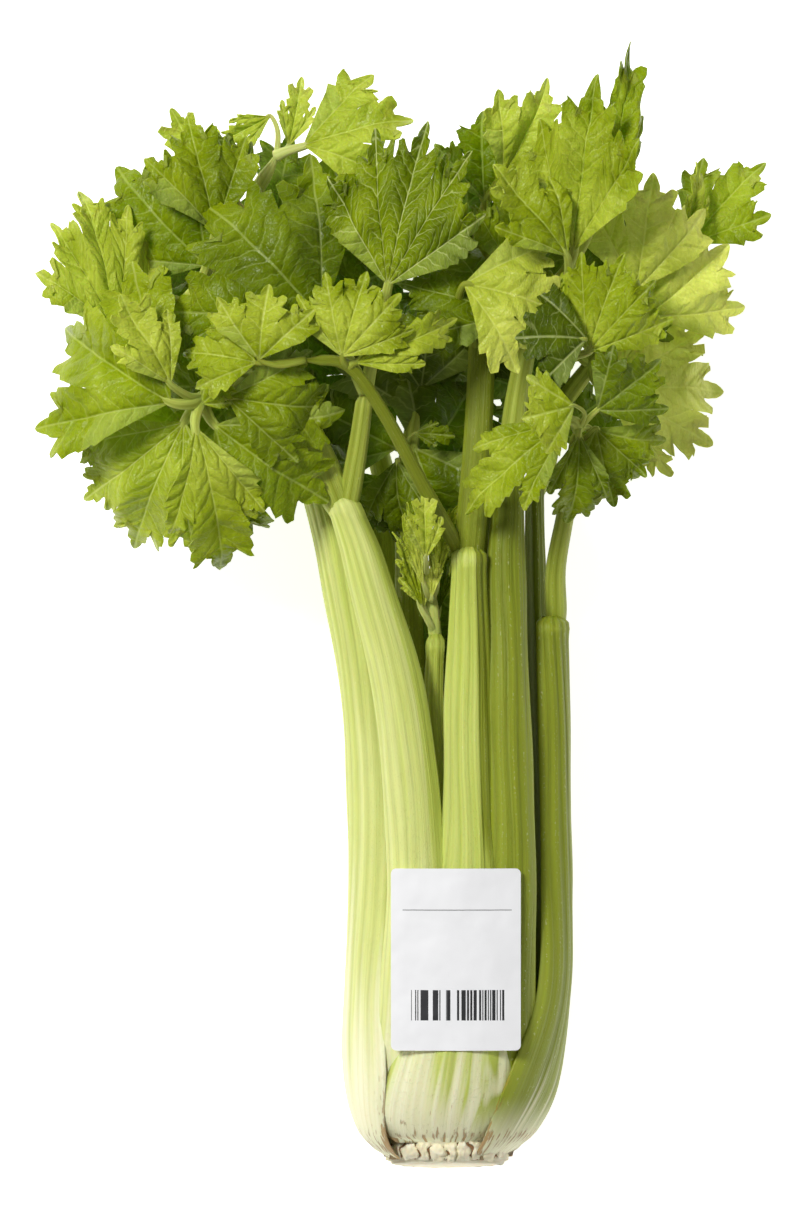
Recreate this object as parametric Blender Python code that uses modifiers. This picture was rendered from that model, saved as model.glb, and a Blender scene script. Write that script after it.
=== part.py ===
"""A head of celery lying on a table: its cut heel, thirteen stalks, the young heart, the leafy tops and a
paper label.

The head lies along +Y with the cut heel at low y, its front faces +Z and the table is z = 0. Tables hold
millimetres, with x = 0 on the head's axis and y = 0 at the end of the heel, and angles are degrees.
"""

import math
import random

import bmesh
import bpy
import numpy as np
from mathutils import Vector
from mathutils.bvhtree import BVHTree

MM = 0.001
GAP = 0.4
BLADE = 0.7
BUNDLE_Z = 33.0
HEEL_X = -2.0
HEEL_END = 2.5
MOST_RISE = 40

# Colour, roughness of each finish.
FINISHES = {
    "stalk_green": ((0.46, 0.58, 0.13), 0.38),
    "leaf_green": ((0.20, 0.36, 0.035), 0.45),
    "heart_yellow": ((0.52, 0.60, 0.13), 0.42),
    "cut_heel": ((0.80, 0.74, 0.52), 0.62),
    "label_paper": ((0.86, 0.87, 0.88), 0.55),
}

# How a stalk's cross-section changes with height: (y, thickness, half of the arc it wraps).
SECTION = ((2, 4.0, 40), (30, 5.5, 38), (70, 7.0, 52), (110, 7.5, 63), (160, 7.0, 70), (240, 5.5, 76))
RIBS = 5
RIB_HEIGHT = 0.55
INNER_POINTS = 4
STALK_RINGS = 8

# Each stalk: rows of (y, x, z, width, facing) for the middle of its outer face. Facing 0 looks at +Z and 90 at
# +X. The stalks made first keep their shape, and the later ones are pressed against them.
STALKS = {
    "stalk_front": ((30, -2, 65.5, 41, 0), (60, 1, 66, 32, 1), (100, 4.5, 66, 22, 3), (156, 4, 66, 18, 3),
                    (207, 4, 66, 13, 2)),
    "stalk_left_outer": ((30, -37.5, 35, 50, -86), (60, -37, 38, 38, -78), (100, -35, 44, 27, -66),
                         (156, -36.5, 47, 20, -52), (203, -44, 48, 17, -42), (236, -52, 49, 13, -36)),
    "stalk_right_outer": ((30, 34, 38, 48, 80), (60, 38, 38, 36, 80), (100, 38.5, 40, 26, 76),
                          (156, 37.5, 42, 21, 66), (184, 36, 43, 17, 54)),
    "stalk_under_right": ((30, 15, 1, 42, 160), (60, 15, -0.6, 30, 163), (100, 15, -0.8, 22, 165),
                          (160, 15, -0.6, 19, 168), (232, 17, 4, 13, 170)),
    "stalk_under_left": ((30, -16, 1, 42, -160), (60, -16, -0.6, 30, -163), (100, -17, -0.8, 22, -165),
                         (160, -19, -0.6, 19, -166), (232, -25, 3, 13, -168)),
    "stalk_left_front": ((30, -17, 60, 30, -24), (60, -15.5, 63, 27, -18), (100, -15, 64.3, 22, -13),
                         (156, -20, 66, 20, -10), (203, -32, 67, 16, -9), (224, -39.5, 66, 12.5, -9)),
    "stalk_right_mid": ((30, 17, 58, 28, 30), (60, 18.5, 61.5, 22, 22), (100, 19.5, 63, 18, 16),
                        (156, 18, 62, 17, 14), (203, 17, 60, 14, 10), (240, 18, 58, 10.5, 8)),
    "stalk_left_back": ((30, -33, 18, 38, -118), (100, -34.5, 20, 23, -112), (160, -38, 20, 19, -106),
                        (234, -47, 22, 13, -96)),
    "stalk_right_back": ((30, 30, 18, 34, 120), (100, 33, 19, 21, 112), (160, 31, 20, 17, 106),
                         (232, 29, 22, 12, 100)),
    "stalk_inner_left": ((30, -17, 40, 18, -60), (100, -17, 41, 15, -56), (160, -18, 40, 14, -50),
                         (222, -19, 40, 10, -40)),
    "stalk_inner_right": ((30, 17, 38, 18, 70), (100, 18, 40, 15, 70), (160, 17, 40, 13, 60),
                          (226, 14, 40, 10, 40)),
    "stalk_inner_back": ((30, 0, 17, 18, 180), (100, 0, 16, 15, 180), (160, -1, 17, 13, 180),
                         (220, -2, 20, 9, 180)),
    "heart_stem": ((30, -2, 46, 11, -10), (100, -5, 50, 9, -10), (150, -8, 52, 8, -10),
                   (178, -7.5, 53, 6.5, -10)),
}

# A stalk's foot and ankle: (height over the foot's end, then shares of the first row's x, z and width).
FEET = ((0.0, 0.60, 0.55, 0.58), (8.5, 0.82, 0.80, 0.80))

# The front stalks' feet end a little above the heel's cut rim.
FOOT_END = {"stalk_front": 8.5, "stalk_left_front": 7.0, "stalk_right_mid": 7.0}

# A leaflet's lobes: (angle from its midrib, length, half of its width in degrees). The midrib's lobe is first.
LEAF_KINDS = {
    "fan": ((0, 1.0, 13), (27, 0.97, 12), (53, 0.86, 12)),
    "trident": ((0, 1.0, 19), (38, 0.90, 17)),
    "slim": ((0, 1.0, 15), (27, 0.68, 10)),
}
SINUS = {"fan": 0.76, "trident": 0.62, "slim": 0.52}

# Each leafy top: the stem that goes on from its stalk, as rows of (x, y, z, radius), and its leaflets, as
# (kind, stem row it leaves from, base, tip, roll, width, arch, cup). They are listed from the table upwards.
FRONDS = {
    "frond_under_left": (
        ((-25, 233, 6, 4.0), (-30, 252, 9, 3.2), (-37, 272, 10, 2.6), (-44, 292, 12, 2.2)),
        (("trident", 1, (-46, 252, 9), (-78, 246, 5), 10, 1.0, 0.10, 0.10),
         ("trident", 2, (-56, 276, 11), (-88, 287, 7), -8, 1.0, 0.10, 0.12),
         ("trident", 3, (-49, 304, 13), (-62, 338, 16), 0, 1.1, 0.12, 0.10)),
    ),
    "frond_under_right": (
        ((17, 233, 7, 4.0), (22, 252, 9, 3.2), (29, 270, 11, 2.6), (36, 287, 13, 2.2)),
        (("trident", 1, (38, 250, 9), (66, 240, 5), -10, 1.0, 0.10, 0.10),
         ("trident", 2, (46, 272, 11), (76, 278, 7), 8, 1.0, 0.10, 0.12),
         ("trident", 3, (41, 299, 14), (50, 332, 17), 0, 1.1, 0.12, 0.10)),
    ),
    "frond_left_back": (
        ((-47, 235, 24, 4.2), (-56, 262, 32, 3.6), (-64, 292, 42, 3.0), (-69, 318, 50, 2.6), (-60, 337, 58, 2.2)),
        (("trident", 1, (-74, 268, 28), (-108, 262, 16), 12, 1.0, 0.12, 0.10),
         ("trident", 2, (-82, 300, 42), (-116, 318, 34), 6, 1.0, 0.10, 0.12),
         ("slim", 3, (-79, 325, 54), (-94, 353, 56), -20, 1.0, 0.08, 0.15),
         ("slim", 4, (-62, 350, 60), (-80, 341, 57), -10, 0.8, 0.08, 0.15),
         ("trident", 3, (-73, 322, 60), (-80, 346, 68), 25, 0.7, 0.06, 0.20),
         ("slim", 4, (-56, 340, 62), (-51, 363, 64), 10, 0.8, 0.05, 0.10),
         ("trident", 4, (-51, 340, 64), (-12, 348, 66), -18, 0.85, 0.08, 0.12)),
    ),
    "frond_right_back": (
        ((29, 233, 24, 4.0), (34, 252, 32, 3.4), (45, 268, 40, 2.8), (60, 284, 46, 2.4), (71, 298, 50, 2.0)),
        (("fan", 2, (50, 259, 44), (91, 261, 38), -10, 1.1, 0.10, 0.06),
         ("trident", 3, (63, 284, 56), (91, 308, 58), 15, 1.0, 0.08, 0.10),
         ("trident", 4, (78, 308, 50), (100, 335, 54), -14, 0.8, 0.06, 0.14),
         ("slim", 4, (74, 305, 56), (81, 336, 62), 30, 0.5, 0.06, 0.16),
         ("trident", 3, (59, 292, 60), (64, 333, 66), 12, 0.9, 0.08, 0.10)),
    ),
    "frond_left_outer": (
        ((-52.5, 237, 46, 4.6), (-60, 258, 50, 4.0), (-74, 276, 54, 3.4), (-92, 287, 57, 2.8), (-104, 291, 60, 2.2)),
        (("trident", 2, (-84, 262, 50), (-122, 256, 38), 10, 1.1, 0.12, 0.08),
         ("trident", 3, (-83, 300, 62), (-114, 333, 58), -12, 1.1, 0.10, 0.10),
         ("fan", 4, (-112, 277, 64), (-124, 325, 56), 14, 0.62, 0.08, 0.08),
         ("trident", 3, (-80, 311, 66), (-90, 350, 62), 8, 0.8, 0.10, 0.12)),
    ),
    "frond_inner": (
        ((-18, 223, 38, 3.6), (-16, 240, 42, 3.0), (-13, 256, 46, 2.4)),
        (("trident", 2, (-12, 260, 47), (-9, 288, 50), 6, 1.1, 0.10, -0.06),
         ("slim", 1, (-14, 245, 53), (-1, 244, 57), 0, 0.9, 0.08, 0.10),
         ("trident", 0, (-20, 236, 46), (-17, 208, 42), 20, 0.8, 0.10, 0.12)),
    ),
    "frond_front": (
        ((4, 208, 62.5, 5.2), (6.5, 240, 60, 4.8), (8, 272, 58, 4.4), (8, 302, 58, 3.6), (9, 322, 60, 2.6)),
        (("trident", 3, (9, 322, 62), (8, 350, 66), -10, 1.0, 0.08, 0.10),
         ("trident", 4, (15, 330, 66), (31, 362, 74), 18, 0.75, 0.08, 0.18),
         ("trident", 2, (19, 296, 64), (14, 333, 68), 20, 0.65, 0.08, 0.14),
         ("trident", 2, (17, 283, 72), (-21, 295, 80), 10, 0.75, 0.10, 0.10),
         ("trident", 2, (15, 284, 76), (37, 288, 72), -8, 1.3, 0.08, 0.10)),
    ),
    "frond_right_mid": (
        ((18, 241, 56, 4.2), (20, 258, 58, 3.8), (24, 276, 62, 3.2), (32, 293, 70, 2.6)),
        (("slim", 3, (46, 316, 80), (60, 375, 84), 25, 0.45, 0.05, 0.16),
         ("trident", 3, (38, 304, 80), (46, 361, 88), -14, 0.6, 0.06, 0.10),
         ("slim", 3, (36, 302, 82), (10, 330, 84), 20, 1.1, 0.10, 0.14),
         ("fan", 2, (43, 271, 78), (55, 305, 86), -8, 0.85, 0.08, 0.08),
         ("trident", 2, (42, 275, 80), (19, 275, 82), 12, 1.3, 0.10, 0.12)),
    ),
    "frond_left_front_right": (
        ((-35.5, 225, 63, 3.6), (-32.5, 243, 68, 3.2), (-30.5, 258, 72, 2.8)),
        (("trident", 2, (-45, 282, 78), (-83, 321, 84), 8, 1.2, 0.10, 0.06),
         ("fan", 2, (-23, 293, 82), (-10, 349, 90), -6, 0.66, 0.08, 0.06)),
    ),
    "frond_right_outer": (
        ((33, 185, 38, 3.8), (33, 200, 44, 3.4), (36, 218, 53, 3.0), (38.5, 235, 64, 2.6), (40, 246, 72, 2.4)),
        (("trident", 3, (46, 246, 70), (52, 221, 60), 10, 0.9, 0.10, 0.10),
         ("slim", 4, (40, 244, 76), (37, 213, 66), -15, 1.0, 0.12, 0.12),
         ("trident", 4, (46, 252, 80), (66, 268, 84), 12, 1.0, 0.10, 0.12),
         ("slim", 4, (36, 248, 80), (0, 216, 74), 15, 0.9, 0.12, 0.14),
         ("trident", 4, (38, 253, 82), (21, 249, 80), -10, 1.3, 0.10, 0.10)),
    ),
    "frond_left_front": (
        ((-42, 225, 63, 4.4), (-48, 242, 68, 4.0), (-56, 258, 72, 3.4), (-70, 262, 75, 2.8), (-84, 256, 77, 2.4)),
        (("trident", 4, (-80, 247, 74), (-43, 222, 62), 10, 1.1, 0.12, 0.10),
         ("fan", 4, (-90, 248, 76), (-108, 206, 54), 6, 1.0, 0.14, 0.06),
         ("slim", 4, (-86, 246, 78), (-78, 198, 56), -12, 1.0, 0.16, 0.10),
         ("trident", 3, (-76, 256, 80), (-39, 252, 72), 10, 0.9, 0.12, 0.12),
         ("trident", 4, (-94, 254, 80), (-133, 280, 66), -8, 1.15, 0.12, 0.08),
         ("slim", 4, (-94, 260, 84), (-112, 289, 88), 20, 1.1, 0.08, 0.12),
         ("slim", 4, (-84, 254, 84), (-74, 262, 90), 0, 1.4, 0.10, 0.10)),
    ),
    "frond_front_branch": (
        ((-2.5, 211, 64, 2.6), (-12, 228, 74, 2.4), (-24, 250, 84, 2.2), (-36, 266, 90, 2.0), (-50, 268, 92, 1.6)),
        (("trident", 4, (-66, 267, 92), (-90, 271, 88), 10, 0.9, 0.10, 0.12),
         ("trident", 4, (-65, 268, 93), (-62, 293, 96), -8, 1.1, 0.08, 0.12),
         ("slim", 3, (-34, 267, 92), (0, 281, 90), 8, 0.8, 0.10, 0.12),
         ("fan", 3, (-38, 269, 94), (-30, 297, 98), -4, 1.0, 0.08, 0.10)),
    ),
    "heart_leaves": (
        ((-7.5, 179, 50, 2.2), (-8.5, 190, 51, 1.8), (-10, 199, 53, 1.5)),
        (("slim", 0, (-11, 187, 54), (-18, 206, 56), 10, 0.8, 0.10, 0.20),
         ("slim", 1, (-8.5, 190, 54), (-6, 212, 55), -10, 0.45, 0.10, 0.20),
         ("slim", 2, (-10.5, 203, 59), (-11, 226, 63), 0, 0.8, 0.10, 0.20)),
    ),
}

# The label: its middle and size, the height of its middle over the table, and how it bends over the stalks.
LABEL_MIDDLE = (-0.5, 70.3)
LABEL_SIZE = (43.0, 60.3)
LABEL_Z = 67.0
LABEL_BEND = 130.0
LABEL_THICK = 0.5
LABEL_CORNER = 3.2

HEEL_SIZE = (19.5, 17.5, 13.0)
HEEL_SIDES = 22


def glide(rows, y):
    """The values at y on a smooth curve through rows of (y, value, ...)."""
    last = len(rows) - 1
    i = min(last - 1, sum(row[0] <= y for row in rows[1:-1]))
    low, high = rows[i], rows[i + 1]
    before, after = rows[max(0, i - 1)], rows[min(last, i + 2)]
    span = high[0] - low[0]
    t = (y - low[0]) / span
    values = []
    for k in range(1, len(low)):
        leave = (high[k] - before[k]) / (high[0] - before[0]) * span
        arrive = (after[k] - low[k]) / (after[0] - low[0]) * span
        values.append(low[k] * (2 * t**3 - 3 * t**2 + 1) + leave * (t**3 - 2 * t**2 + t)
                      + high[k] * (3 * t**2 - 2 * t**3) + arrive * (t**3 - t**2))
    return values


def clear_scene():
    for obj in list(bpy.data.objects):
        bpy.data.objects.remove(obj)


def make_finishes():
    for name, (colour, roughness) in FINISHES.items():
        material = bpy.data.materials.new(name)
        material.use_nodes = True
        shader = material.node_tree.nodes["Principled BSDF"]
        shader.inputs["Base Color"].default_value = (*colour, 1)
        shader.inputs["Roughness"].default_value = roughness
        shader.inputs["Metallic"].default_value = 0.0


def add_object(name, mesh, collection):
    obj = bpy.data.objects.new(name, mesh)
    collection.objects.link(obj)
    return obj


def face_out(bm):
    bm.normal_update()
    bmesh.ops.recalc_face_normals(bm, faces=bm.faces)


def mesh_from(bm, name):
    """A mesh of this bmesh, whose millimetres become metres."""
    bmesh.ops.scale(bm, vec=(MM, MM, MM), verts=bm.verts)
    mesh = bpy.data.meshes.new(name)
    bm.to_mesh(mesh)
    bm.free()
    return mesh


def applied(obj):
    """Applies the modifiers of obj and keeps only its largest piece."""
    graph = bpy.context.evaluated_depsgraph_get()
    mesh = bpy.data.meshes.new_from_object(obj.evaluated_get(graph))
    obj.modifiers.clear()
    obj.data = mesh
    bm = bmesh.new()
    bm.from_mesh(mesh)
    left, islands = set(bm.verts), []
    while left:
        front = [left.pop()]
        island = set(front)
        while front:
            near = {edge.other_vert(v) for v in front for edge in v.link_edges} & left
            left -= near
            island |= near
            front = list(near)
        islands.append(island)
    largest = max(islands, key=len)
    bmesh.ops.delete(bm, geom=[v for v in bm.verts if v not in largest], context="VERTS")
    bm.to_mesh(mesh)
    bm.free()
    return obj


def combine(obj, others, operation, solver="MANIFOLD"):
    """Joins or cuts obj with the other objects in one Boolean, which then go."""
    tools = bpy.data.collections.new("tools")
    bpy.context.scene.collection.children.link(tools)
    for other in others:
        for home in list(other.users_collection):
            home.objects.unlink(other)
        tools.objects.link(other)
    boolean = obj.modifiers.new("combine", "BOOLEAN")
    boolean.operation = operation
    boolean.solver = solver
    boolean.operand_type = "COLLECTION"
    boolean.collection = tools
    applied(obj)
    for other in others:
        bpy.data.objects.remove(other)
    bpy.data.collections.remove(tools)
    return obj


def ribbed_section(width, thick, wrap, grow):
    """A stalk's cross-section as (across, outward) points: a ribbed outer arc and a plain hollow behind it."""
    half = math.radians(wrap)
    radius = width / 2 / math.sin(half)
    outer = 2 * RIBS + 1
    points = []
    for i in range(outer):
        side = 2 * i / (outer - 1) - 1
        angle = side * (half + grow / radius)
        rib = RIB_HEIGHT if i % 2 else 0
        reach = radius + rib * (1 - 0.5 * abs(side)) + grow
        points.append((reach * math.sin(angle), reach * math.cos(angle) - radius))
    for i in range(INNER_POINTS):
        side = 1 - 2 * i / (INNER_POINTS - 1)
        angle = side * (0.86 * half + grow / radius)
        reach = radius - thick * (1 - 0.45 * side * side) - grow
        points.append((reach * math.sin(angle), reach * math.cos(angle) - radius))
    return points


def stalk_rows(name, rows):
    """The rows of a stalk with its foot and ankle, which bend in to the heel, put before them."""
    _, x, z, width, facing = rows[0]
    end = FOOT_END.get(name, HEEL_END)
    feet = [(end + up, out * x + HEEL_X, BUNDLE_Z + lift * (z - BUNDLE_Z), share * width, facing)
            for up, out, lift, share in FEET]
    return (*feet, *rows)


def stalk_ring(rows, y, grow):
    x, z, width, facing = glide(rows, y)
    thick, wrap = glide(SECTION, y)
    turn = math.radians(facing)
    out, across = Vector((math.sin(turn), 0, math.cos(turn))), Vector((math.cos(turn), 0, -math.sin(turn)))
    thick = min(thick, 0.42 * width)
    return [Vector((x, y, z)) + across * a + out * b for a, b in ribbed_section(width, thick, wrap, grow)]


def stalk_object(name, rows, grow, collection):
    """A stalk as a loft through its ribbed sections, closer together near the heel where it bends."""
    rows = stalk_rows(name, rows)
    start, end = rows[0][0], rows[-1][0]
    bm = bmesh.new()
    rings = []
    for i in range(STALK_RINGS):
        y = start + (end - start) * (i / (STALK_RINGS - 1)) ** 1.6
        steep = 1 + max(0, 16 - y) / 10
        rings.append([bm.verts.new(point) for point in stalk_ring(rows, y, grow * steep)])
    for ring, shift in ((rings[0], -grow), (rings[-1], grow)):
        for v in ring:
            v.co.y += shift
    for low, high in zip(rings, rings[1:]):
        for i in range(len(low)):
            j = (i + 1) % len(low)
            bm.faces.new((low[i], low[j], high[j], high[i]))
    bm.faces.new(rings[0][::-1])
    bm.faces.new(rings[-1])
    face_out(bm)
    return add_object(name, mesh_from(bm, name), collection)


def heel_object(name, grow, collection):
    """The cut end of the stem: a short block, wider than it is thick, that narrows into the head."""
    wide, tall, length = HEEL_SIZE
    bm = bmesh.new()
    bmesh.ops.create_cone(bm, cap_ends=True, segments=HEEL_SIDES, radius1=1.0, radius2=0.72, depth=1.0)
    bmesh.ops.subdivide_edges(
        bm, edges=[e for e in bm.edges if abs(e.verts[0].co.z - e.verts[1].co.z) > 0.5], cuts=2
    )
    for v in bm.verts:
        turn = math.atan2(v.co.y, v.co.x)
        swell = 1 + 0.05 * math.sin(5 * turn) + 0.03 * math.sin(9 * turn + 1)
        bulge = 1 + 0.10 * math.cos(math.pi * v.co.z)
        slope = 0.12 * v.co.y * (0.5 - v.co.z)
        v.co = Vector((
            v.co.x * swell * bulge * (wide + grow) - 3,
            (v.co.z + 0.5) * (length + 2 * grow) - grow + slope * wide,
            v.co.y * swell * bulge * (tall + grow) + BUNDLE_Z,
        ))
    face_out(bm)
    return add_object(name, mesh_from(bm, name), collection)


def tube_object(name, points, grow, collection, steps=2):
    """A stem as a curve through (x, y, z, radius) points, made a mesh with its caps welded."""
    rows = [(i, *point) for i, point in enumerate(points)]
    fine = [glide(rows, i / steps) for i in range(steps * (len(points) - 1) + 1)]
    curve = bpy.data.curves.new(name, "CURVE")
    curve.dimensions = "3D"
    curve.bevel_depth = MM
    curve.bevel_resolution = 1
    curve.use_fill_caps = True
    spline = curve.splines.new("POLY")
    spline.points.add(len(fine) - 1)
    for point, (x, y, z, radius) in zip(spline.points, fine):
        point.co = (x * MM, y * MM, z * MM, 1)
        point.radius = radius + grow
    guide = add_object(name + "_line", curve, collection)
    bpy.context.view_layer.update()
    mesh = bpy.data.meshes.new_from_object(guide.evaluated_get(bpy.context.evaluated_depsgraph_get()))
    bpy.data.objects.remove(guide)
    bm = bmesh.new()
    bm.from_mesh(mesh)
    bmesh.ops.remove_doubles(bm, verts=bm.verts, dist=1e-6)
    face_out(bm)
    bm.to_mesh(mesh)
    bm.free()
    return add_object(name, mesh, collection)


def outline(kind, dice):
    """A leaflet's edge from one side of its base to the other, as (angle, radius): the tips of its teeth and
    the notches between them."""
    lobes = LEAF_KINDS[kind]
    half = []
    for k, (centre, length, spread) in enumerate(lobes):
        length *= dice.uniform(0.94, 1.04)
        toothed = spread > 11
        if k and toothed:
            half += [(centre - 0.80 * spread, 0.90 * length), (centre - 0.48 * spread, 0.84 * length)]
        half.append((centre, length))
        if toothed:
            half += [(centre + 0.48 * spread, 0.84 * length), (centre + 0.80 * spread, 0.90 * length)]
        if k + 1 < len(lobes):
            edge = centre + spread
            half.append(((edge + lobes[k + 1][0] - lobes[k + 1][2]) / 2, SINUS[kind] * min(length, 1)))
    half.append((lobes[-1][0] + lobes[-1][2] + 4, 0.42))
    return [(-angle, radius) for angle, radius in half[:0:-1]] + half


class Leaflet:
    """One leaflet: an outline in polar form round its base, bent into an arched and cupped sheet."""

    def __init__(self, row, seed):
        kind, self.joint, base, tip, roll, self.width, self.arch, self.cup = row
        dice = random.Random(seed)
        self.base, self.tip = Vector(base), Vector(tip)
        self.edge = outline(kind, dice)
        self.phase = dice.uniform(0, 6.28)
        self.wave = dice.uniform(0.02, 0.045)
        self.reach = (self.tip - self.base).length
        self.axis = (self.tip - self.base).normalized()
        up = Vector((0, 0, 1))
        flat = (up - self.axis * up.dot(self.axis)).normalized()
        side = self.axis.cross(flat)
        turn = math.radians(roll)
        self.normal = flat * math.cos(turn) + side * math.sin(turn)
        self.side = self.axis.cross(self.normal)

    def lift(self, rise):
        self.base.z += rise
        self.tip.z += rise

    def point(self, angle, radius, share):
        """A point of the sheet: share runs from 0 at the base to 1 at the edge."""
        turn = math.radians(angle)
        reach = radius * share
        along, across = reach * math.cos(turn), reach * math.sin(turn) * self.width
        height = self.arch * 4 * along * (1 - along) + self.cup * abs(across) - 0.35 * across * across
        height += self.wave * share * share * math.cos(4.5 * turn + self.phase)
        return self.base + (self.axis * along + self.side * across + self.normal * height) * self.reach

    def object(self, name, grow, collection):
        half = len(self.edge) // 2
        bm = bmesh.new()
        bmesh.ops.create_grid(bm, x_segments=2 * half, y_segments=2, size=0.5)
        for v in bm.verts:
            ray, share = round(2 * half * v.co.x), v.co.y + 0.5
            if share < 0.9:
                ray = max(-half, min(half, 3 * round(ray / 3)))
            angle, radius = self.edge[ray + half]
            v.co = self.point(angle, radius + 1.5 * grow / self.reach, share)
        bmesh.ops.remove_doubles(bm, verts=bm.verts, dist=1e-3)
        bmesh.ops.triangulate(bm, faces=bm.faces, quad_method="SHORT_EDGE")
        obj = add_object(name, mesh_from(bm, name), collection)
        wall = obj.modifiers.new("wall", "SOLIDIFY")
        wall.thickness = (BLADE + 2 * grow) * MM
        wall.offset = 0
        wall.use_even_offset = False
        return applied(obj)


def petiole_rows(stem, leaflet):
    """The thin stem from the frond's main stem to a little way up the leaflet's midrib."""
    start, radius = Vector(stem[leaflet.joint][:3]), stem[leaflet.joint][3]
    end = leaflet.base
    stride = (end - start).length
    into = leaflet.axis * 0.5 * stride
    thin = min(1.5, 0.034 * leaflet.reach)
    rows = [(*start, min(radius, 1.5 * thin))]
    rows.append((*(start.lerp(end, 0.55) - 0.25 * into), 1.2 * thin))
    rows.append((*leaflet.point(0, 1, 0.07), 0.9 * thin))
    return rows


def frond_object(name, stem, leaflets, grow, collection):
    parts = [tube_object(name, stem, grow, collection)]
    for k, leaflet in enumerate(leaflets):
        parts.append(tube_object(f"{name}_stem_{k}", petiole_rows(stem, leaflet), grow, collection, 1))
        parts.append(leaflet.object(f"{name}_leaf_{k}", grow, collection))
    return combine(parts[0], parts[1:], "UNION")


def label_object(name, grow, collection):
    """A sheet of paper with round corners, bent over the front stalks."""
    bm = bmesh.new()
    bmesh.ops.create_grid(bm, x_segments=8, y_segments=2, size=0.5)
    for v in bm.verts:
        v.co = Vector((v.co.x * LABEL_SIZE[0], v.co.y * LABEL_SIZE[1], 0))
    corners = [v for v in bm.verts if len(v.link_edges) == 2]
    bmesh.ops.bevel(bm, geom=corners, offset=LABEL_CORNER, offset_type="OFFSET", segments=3, profile=0.5,
                    affect="VERTICES", material=-1)
    bmesh.ops.triangulate(bm, faces=bm.faces)
    for v in bm.verts:
        x, y, _ = v.co
        v.co = Vector((x + LABEL_MIDDLE[0], y + LABEL_MIDDLE[1], LABEL_Z - x * x / (2 * LABEL_BEND)))
    obj = add_object(name, mesh_from(bm, name), collection)
    wall = obj.modifiers.new("wall", "SOLIDIFY")
    wall.thickness = (LABEL_THICK + 2 * grow) * MM
    wall.offset = 0
    return applied(obj)


def tree_of(obj, rise=0):
    mesh = obj.data
    mesh.calc_loop_triangles()
    up = Vector((0, 0, rise * MM))
    return BVHTree.FromPolygons([v.co + up for v in mesh.vertices], [tuple(t.vertices) for t in mesh.loop_triangles])


class Head:
    """The pieces made so far. Each new one is pressed clear of those before it that it would cross."""

    def __init__(self, collection):
        self.collection = collection
        self.makers = {}
        self.trees = {}

    def add(self, name, finish, make):
        obj = make(0, self.collection)
        obj.name = name
        tree = tree_of(obj)
        inside = [other for other in self.makers if tree.overlap(self.trees[other])]
        if inside:
            combine(obj, [self.makers[other](GAP, self.collection) for other in inside], "DIFFERENCE")
        self.makers[name] = make
        grown = make(GAP, self.collection)
        self.trees[name] = tree_of(grown)
        bpy.data.objects.remove(grown)
        obj.data.materials.clear()
        obj.data.materials.append(bpy.data.materials[finish])
        return obj

    def settle(self, name, leaflets, stems, placed):
        """Raises each leaflet of a frond until it lies clear of the stalks, the stems and the leaflets so far."""
        others = [tree for other, tree in self.trees.items()]
        others += [tree for other, tree in stems.items() if other != name]
        for leaflet in leaflets:
            sheet = leaflet.object("sheet", GAP, self.collection)
            rise = 0
            while rise < MOST_RISE and any(tree_of(sheet, rise).overlap(tree) for tree in others + placed):
                rise += 1
            leaflet.lift(rise)
            placed.append(tree_of(sheet, rise))
            bpy.data.objects.remove(sheet)


def press_on_table(obj):
    """Cuts off what would be under the table, which leaves the flats the head rests on."""
    bm = bmesh.new()
    bm.from_mesh(obj.data)
    cut = bmesh.ops.bisect_plane(bm, geom=bm.verts[:] + bm.edges[:] + bm.faces[:], plane_co=(0, 0, 0),
                                 plane_no=(0, 0, -1), clear_outer=True)
    edges = [e for e in cut["geom_cut"] if isinstance(e, bmesh.types.BMEdge)]
    if edges:
        bmesh.ops.holes_fill(bm, edges=edges)
    bm.to_mesh(obj.data)
    bm.free()


def centre_on_table(collection):
    """Moves the whole head so that the middle of its outline is over the origin."""
    points = np.array([v.co for obj in collection.objects for v in obj.data.vertices])
    middle = (points.min(0) + points.max(0)) / 2
    for obj in collection.objects:
        for v in obj.data.vertices:
            v.co.x -= middle[0]
            v.co.y -= middle[1]


def add_fronds(head):
    """The leafy tops, each leaflet raised until it lies clear of the pile under it."""
    stems, placed = {}, []
    for name, (stem, _) in FRONDS.items():
        tube = tube_object(name, stem, GAP, head.collection)
        stems[name] = tree_of(tube)
        bpy.data.objects.remove(tube)
    for n, (name, (stem, rows)) in enumerate(FRONDS.items()):
        leaflets = [Leaflet(row, 100 * n + k) for k, row in enumerate(rows)]
        head.settle(name, leaflets, stems, placed)
        finish = "heart_yellow" if name.startswith("heart") else "leaf_green"

        def make(grow, collection, name=name, stem=stem, leaflets=leaflets):
            return frond_object(name, stem, leaflets, grow, collection)

        head.add(name, finish, make)


def main():
    clear_scene()
    make_finishes()
    collection = bpy.data.collections.new("celery_head")
    bpy.context.scene.collection.children.link(collection)
    head = Head(collection)
    head.add("heel", "cut_heel", lambda grow, home: heel_object("heel", grow, home))
    for name, rows in STALKS.items():
        finish = "heart_yellow" if name.startswith("heart") else "stalk_green"
        press_on_table(head.add(name, finish, lambda grow, home, n=name, r=rows: stalk_object(n, r, grow, home)))
    add_fronds(head)
    head.add("label", "label_paper", lambda grow, home: label_object("label", grow, home))
    centre_on_table(collection)
    total = 0
    for obj in collection.objects:
        obj.data.shade_smooth()
        obj.data.set_sharp_from_angle(angle=math.radians(40))
        obj.data.calc_loop_triangles()
        total += len(obj.data.loop_triangles)
        print(obj.name, len(obj.data.loop_triangles))
    print(f"{len(collection.objects)} pieces, {total} triangles")


main()
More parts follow.
